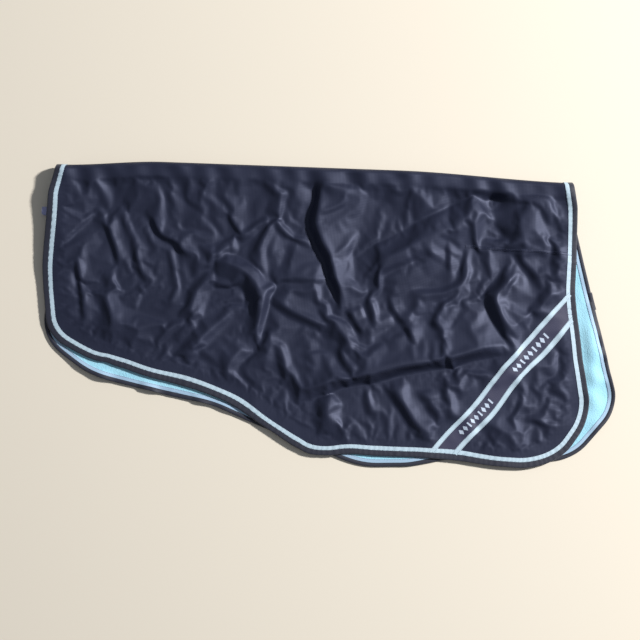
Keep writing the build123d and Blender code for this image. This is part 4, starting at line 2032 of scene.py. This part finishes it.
# ------------------------------------------------
# Studio
# ------------------------------------------------
@dataclass
class Studio:
    """Plain pale floor, soft light and the camera."""

    floor_level: float = -0.6  # mm
    width_seen: float = 1.555  # metres across the picture at the rug
    aim: tuple[float, float] = (-0.0129, -0.0073)
    distance: float = 4.0
    elevation: float = 82.0
    roll: float = 2.08
    key_from: tuple[float, float] = (0.93, 0.37)
    key_elevation: float = 36.0

    def build(self) -> None:
        """Sets up the floor, the lights and the camera."""
        self.floor()
        self.lights()
        self.camera()

    def floor(self) -> None:
        """A wide pale plane just under the rug."""
        half, level = 5.0, self.floor_level * MM
        turns = ((-1, -1), (1, -1), (1, 1), (-1, 1))
        corners = np.array([(half * x, half * y, level) for x, y in turns])
        board = Pattern(corners, [(0, 1, 2, 3)], corners[:, :2])
        make_object("studio_floor", board, StudioFloor("pale_floor").material())

    def lights(self) -> None:
        """A key light from the tail and the spine side, and an even fill."""
        rise = math.radians(self.key_elevation)
        flat = Vector((*self.key_from, 0)).normalized() * math.cos(rise)
        towards = Vector((flat.x, flat.y, math.sin(rise)))
        lamp = bpy.data.lights.new("key", "AREA")
        lamp.shape, lamp.size, lamp.energy = "DISK", 0.8, 1150.0
        lamp.color = (1.0, 0.985, 0.96)
        key = bpy.data.objects.new("key", lamp)
        key.location = towards * 8.0
        key.rotation_euler = (-towards).to_track_quat("-Z", "Y").to_euler()
        bpy.context.scene.collection.objects.link(key)
        world = bpy.data.worlds.new("studio")
        world.use_nodes = True
        back = world.node_tree.nodes["Background"]
        back.inputs["Color"].default_value = linear("#dfe6f0")
        back.inputs["Strength"].default_value = 0.3
        bpy.context.scene.world = world
        bpy.context.scene.view_settings.view_transform = "Standard"

    def camera(self) -> None:
        """A camera almost overhead, seen from the hem's side."""
        lens = bpy.data.cameras.new("camera")
        lens.sensor_width = 36.0
        lens.lens = lens.sensor_width * self.distance / self.width_seen
        lens.clip_end = 50.0
        eye = bpy.data.objects.new("camera", lens)
        rise = math.radians(self.elevation)
        back = Vector((0, -math.cos(rise), math.sin(rise)))
        place = Vector((*self.aim, 0.015)) + back * self.distance
        turn = (-back).to_track_quat("-Z", "Y").to_matrix() @ Matrix.Rotation(math.radians(self.roll), 3, "Z")
        eye.matrix_world = Matrix.Translation(place) @ turn.to_4x4()
        bpy.context.scene.collection.objects.link(eye)
        bpy.context.scene.camera = eye


# ------------------------------------------------
# The whole rug
# ------------------------------------------------
def lay_cloth() -> Cloth:
    """Reads the fold and the front of the spine from the frame.

    Returns:
        The cloth that every piece is laid on.
    """
    hinge = next(j for j in frame["joints"] if j["name"] == "spine_fold")["pos_m"]
    loop_reach, hinge_gap = 31.0, 0.2  # mm: how far the front loop stands out, and the hinge beyond the crest
    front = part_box("off_front_loop")[0].x / MM + loop_reach
    return Cloth(fold_radius=hinge[2] / MM, crest=hinge[1] / MM - hinge_gap, front=front)


PART_LABELS = {Part.NEAR: "near", Part.OFF: "off", Part.FRONT_FOLD: "fold", Part.TAIL_FOLD: "fold"}
# the sections of the edge's tapes, as (inside the edge, depth) in mm
BINDING = [
    (12.0, 0.3), (11.5, -0.35), (8.0, -0.5), (4.0, -0.5), (1.2, -0.45), (0.2, -0.1), (-0.5, 0.8),
    (-0.8, 2.0), (-0.7, 3.4), (-0.1, 4.6), (1.2, 5.1), (4.0, 5.2), (8.4, 5.1), (9.0, 4.4), (8.4, 4.1),
    (1.6, 4.1), (0.6, 2.0), (1.6, 0.9), (8.0, 0.7),
]  # fmt: skip
TRIM = [
    (12.4, 0.3), (12.9, -0.3), (15.3, -0.4), (17.6, -0.4), (20.0, -0.4), (22.4, -0.3), (22.9, 0.3),
    (22.9, 0.8), (17.6, 0.8), (12.4, 0.8),
]  # fmt: skip
FACING = [
    (8.8, 4.2), (9.2, 4.8), (12.0, 4.9), (14.6, 4.9), (17.2, 4.8), (17.6, 4.2), (17.6, 3.6), (13.0, 3.6),
    (8.8, 3.6),
]  # fmt: skip


# where the rows of stitches run: both edges of the trim, the binding and the facing
EDGE_ROWS = [(13.6, -0.5), (22.6, -0.5), (10.6, -0.55), (16.4, 5.0)]


def main() -> None:
    """Builds the rug and its studio."""
    logging.basicConfig(level=logging.INFO, format="%(name)s %(message)s")
    cloth = lay_cloth()
    edge, motion, wardrobe = Edge(cloth), Motion(cloth), Wardrobe()
    Studio().build()
    shell = Layer(
        cloth, edge, motion, Trade("outer_shell", "shell_cloth", wardrobe.shell, 0.4),
        outer=0.4, inner=1.0, edge_in=2.0, size=(211, 418), off_size=(106, 210), fold_rows=25, coarse=3,
    )  # fmt: skip
    lining = Layer(
        cloth, edge, motion, Trade("fleece_lining", "lining_fleece", wardrobe.fleece, 4.0),
        outer=1.4, inner=4.0, edge_in=1.6, size=(96, 180), off_size=(96, 180), fold_rows=19, lining=True,
    )  # fmt: skip
    binding_tape = Trade("edge_binding", "binding_tape", wardrobe.binding, 4.0)
    trim_tape = Trade("trim_tape", "pale_tape", wardrobe.pale)
    facing_tape = Trade("facing_tape", "facing_tape", wardrobe.facing, 4.0)
    trims = [
        EdgeTrim(cloth, edge, motion, binding_tape, BINDING, 0.5),
        EdgeTrim(cloth, edge, motion, trim_tape, TRIM, 0.7),
        EdgeTrim(cloth, edge, motion, facing_tape, FACING),
    ]
    for piece in (shell, lining, *trims):
        piece.build()
    BindingLap(cloth, edge, motion, wardrobe.binding).build()
    sewing = Stitching(StitchTree().build())
    lines = {"near": [], "off": [], "fold": []}
    for part, label in PART_LABELS.items():
        for inside, depth in EDGE_ROWS:
            lines[label].append(cloth.place(*edge.runs[part].offset(inside).T, depth))
    for side in Side:
        band = DiagonalBand(cloth, edge, motion, wardrobe, side)
        seam = RumpSeam(cloth, edge, motion, wardrobe, side)
        band.build()
        seam.build()
        FrontLoop(cloth, motion, wardrobe, side).build()
        lines[side.label] += band.stitch_lines() + seam.stitch_lines()
    for label, rows in lines.items():
        thread = sewing.sew(f"{label}_stitches", rows, wardrobe.thread)
        motion.tie(thread, label)
    shell.declare()
    lining.declare()


if __name__ == "__main__":
    main()
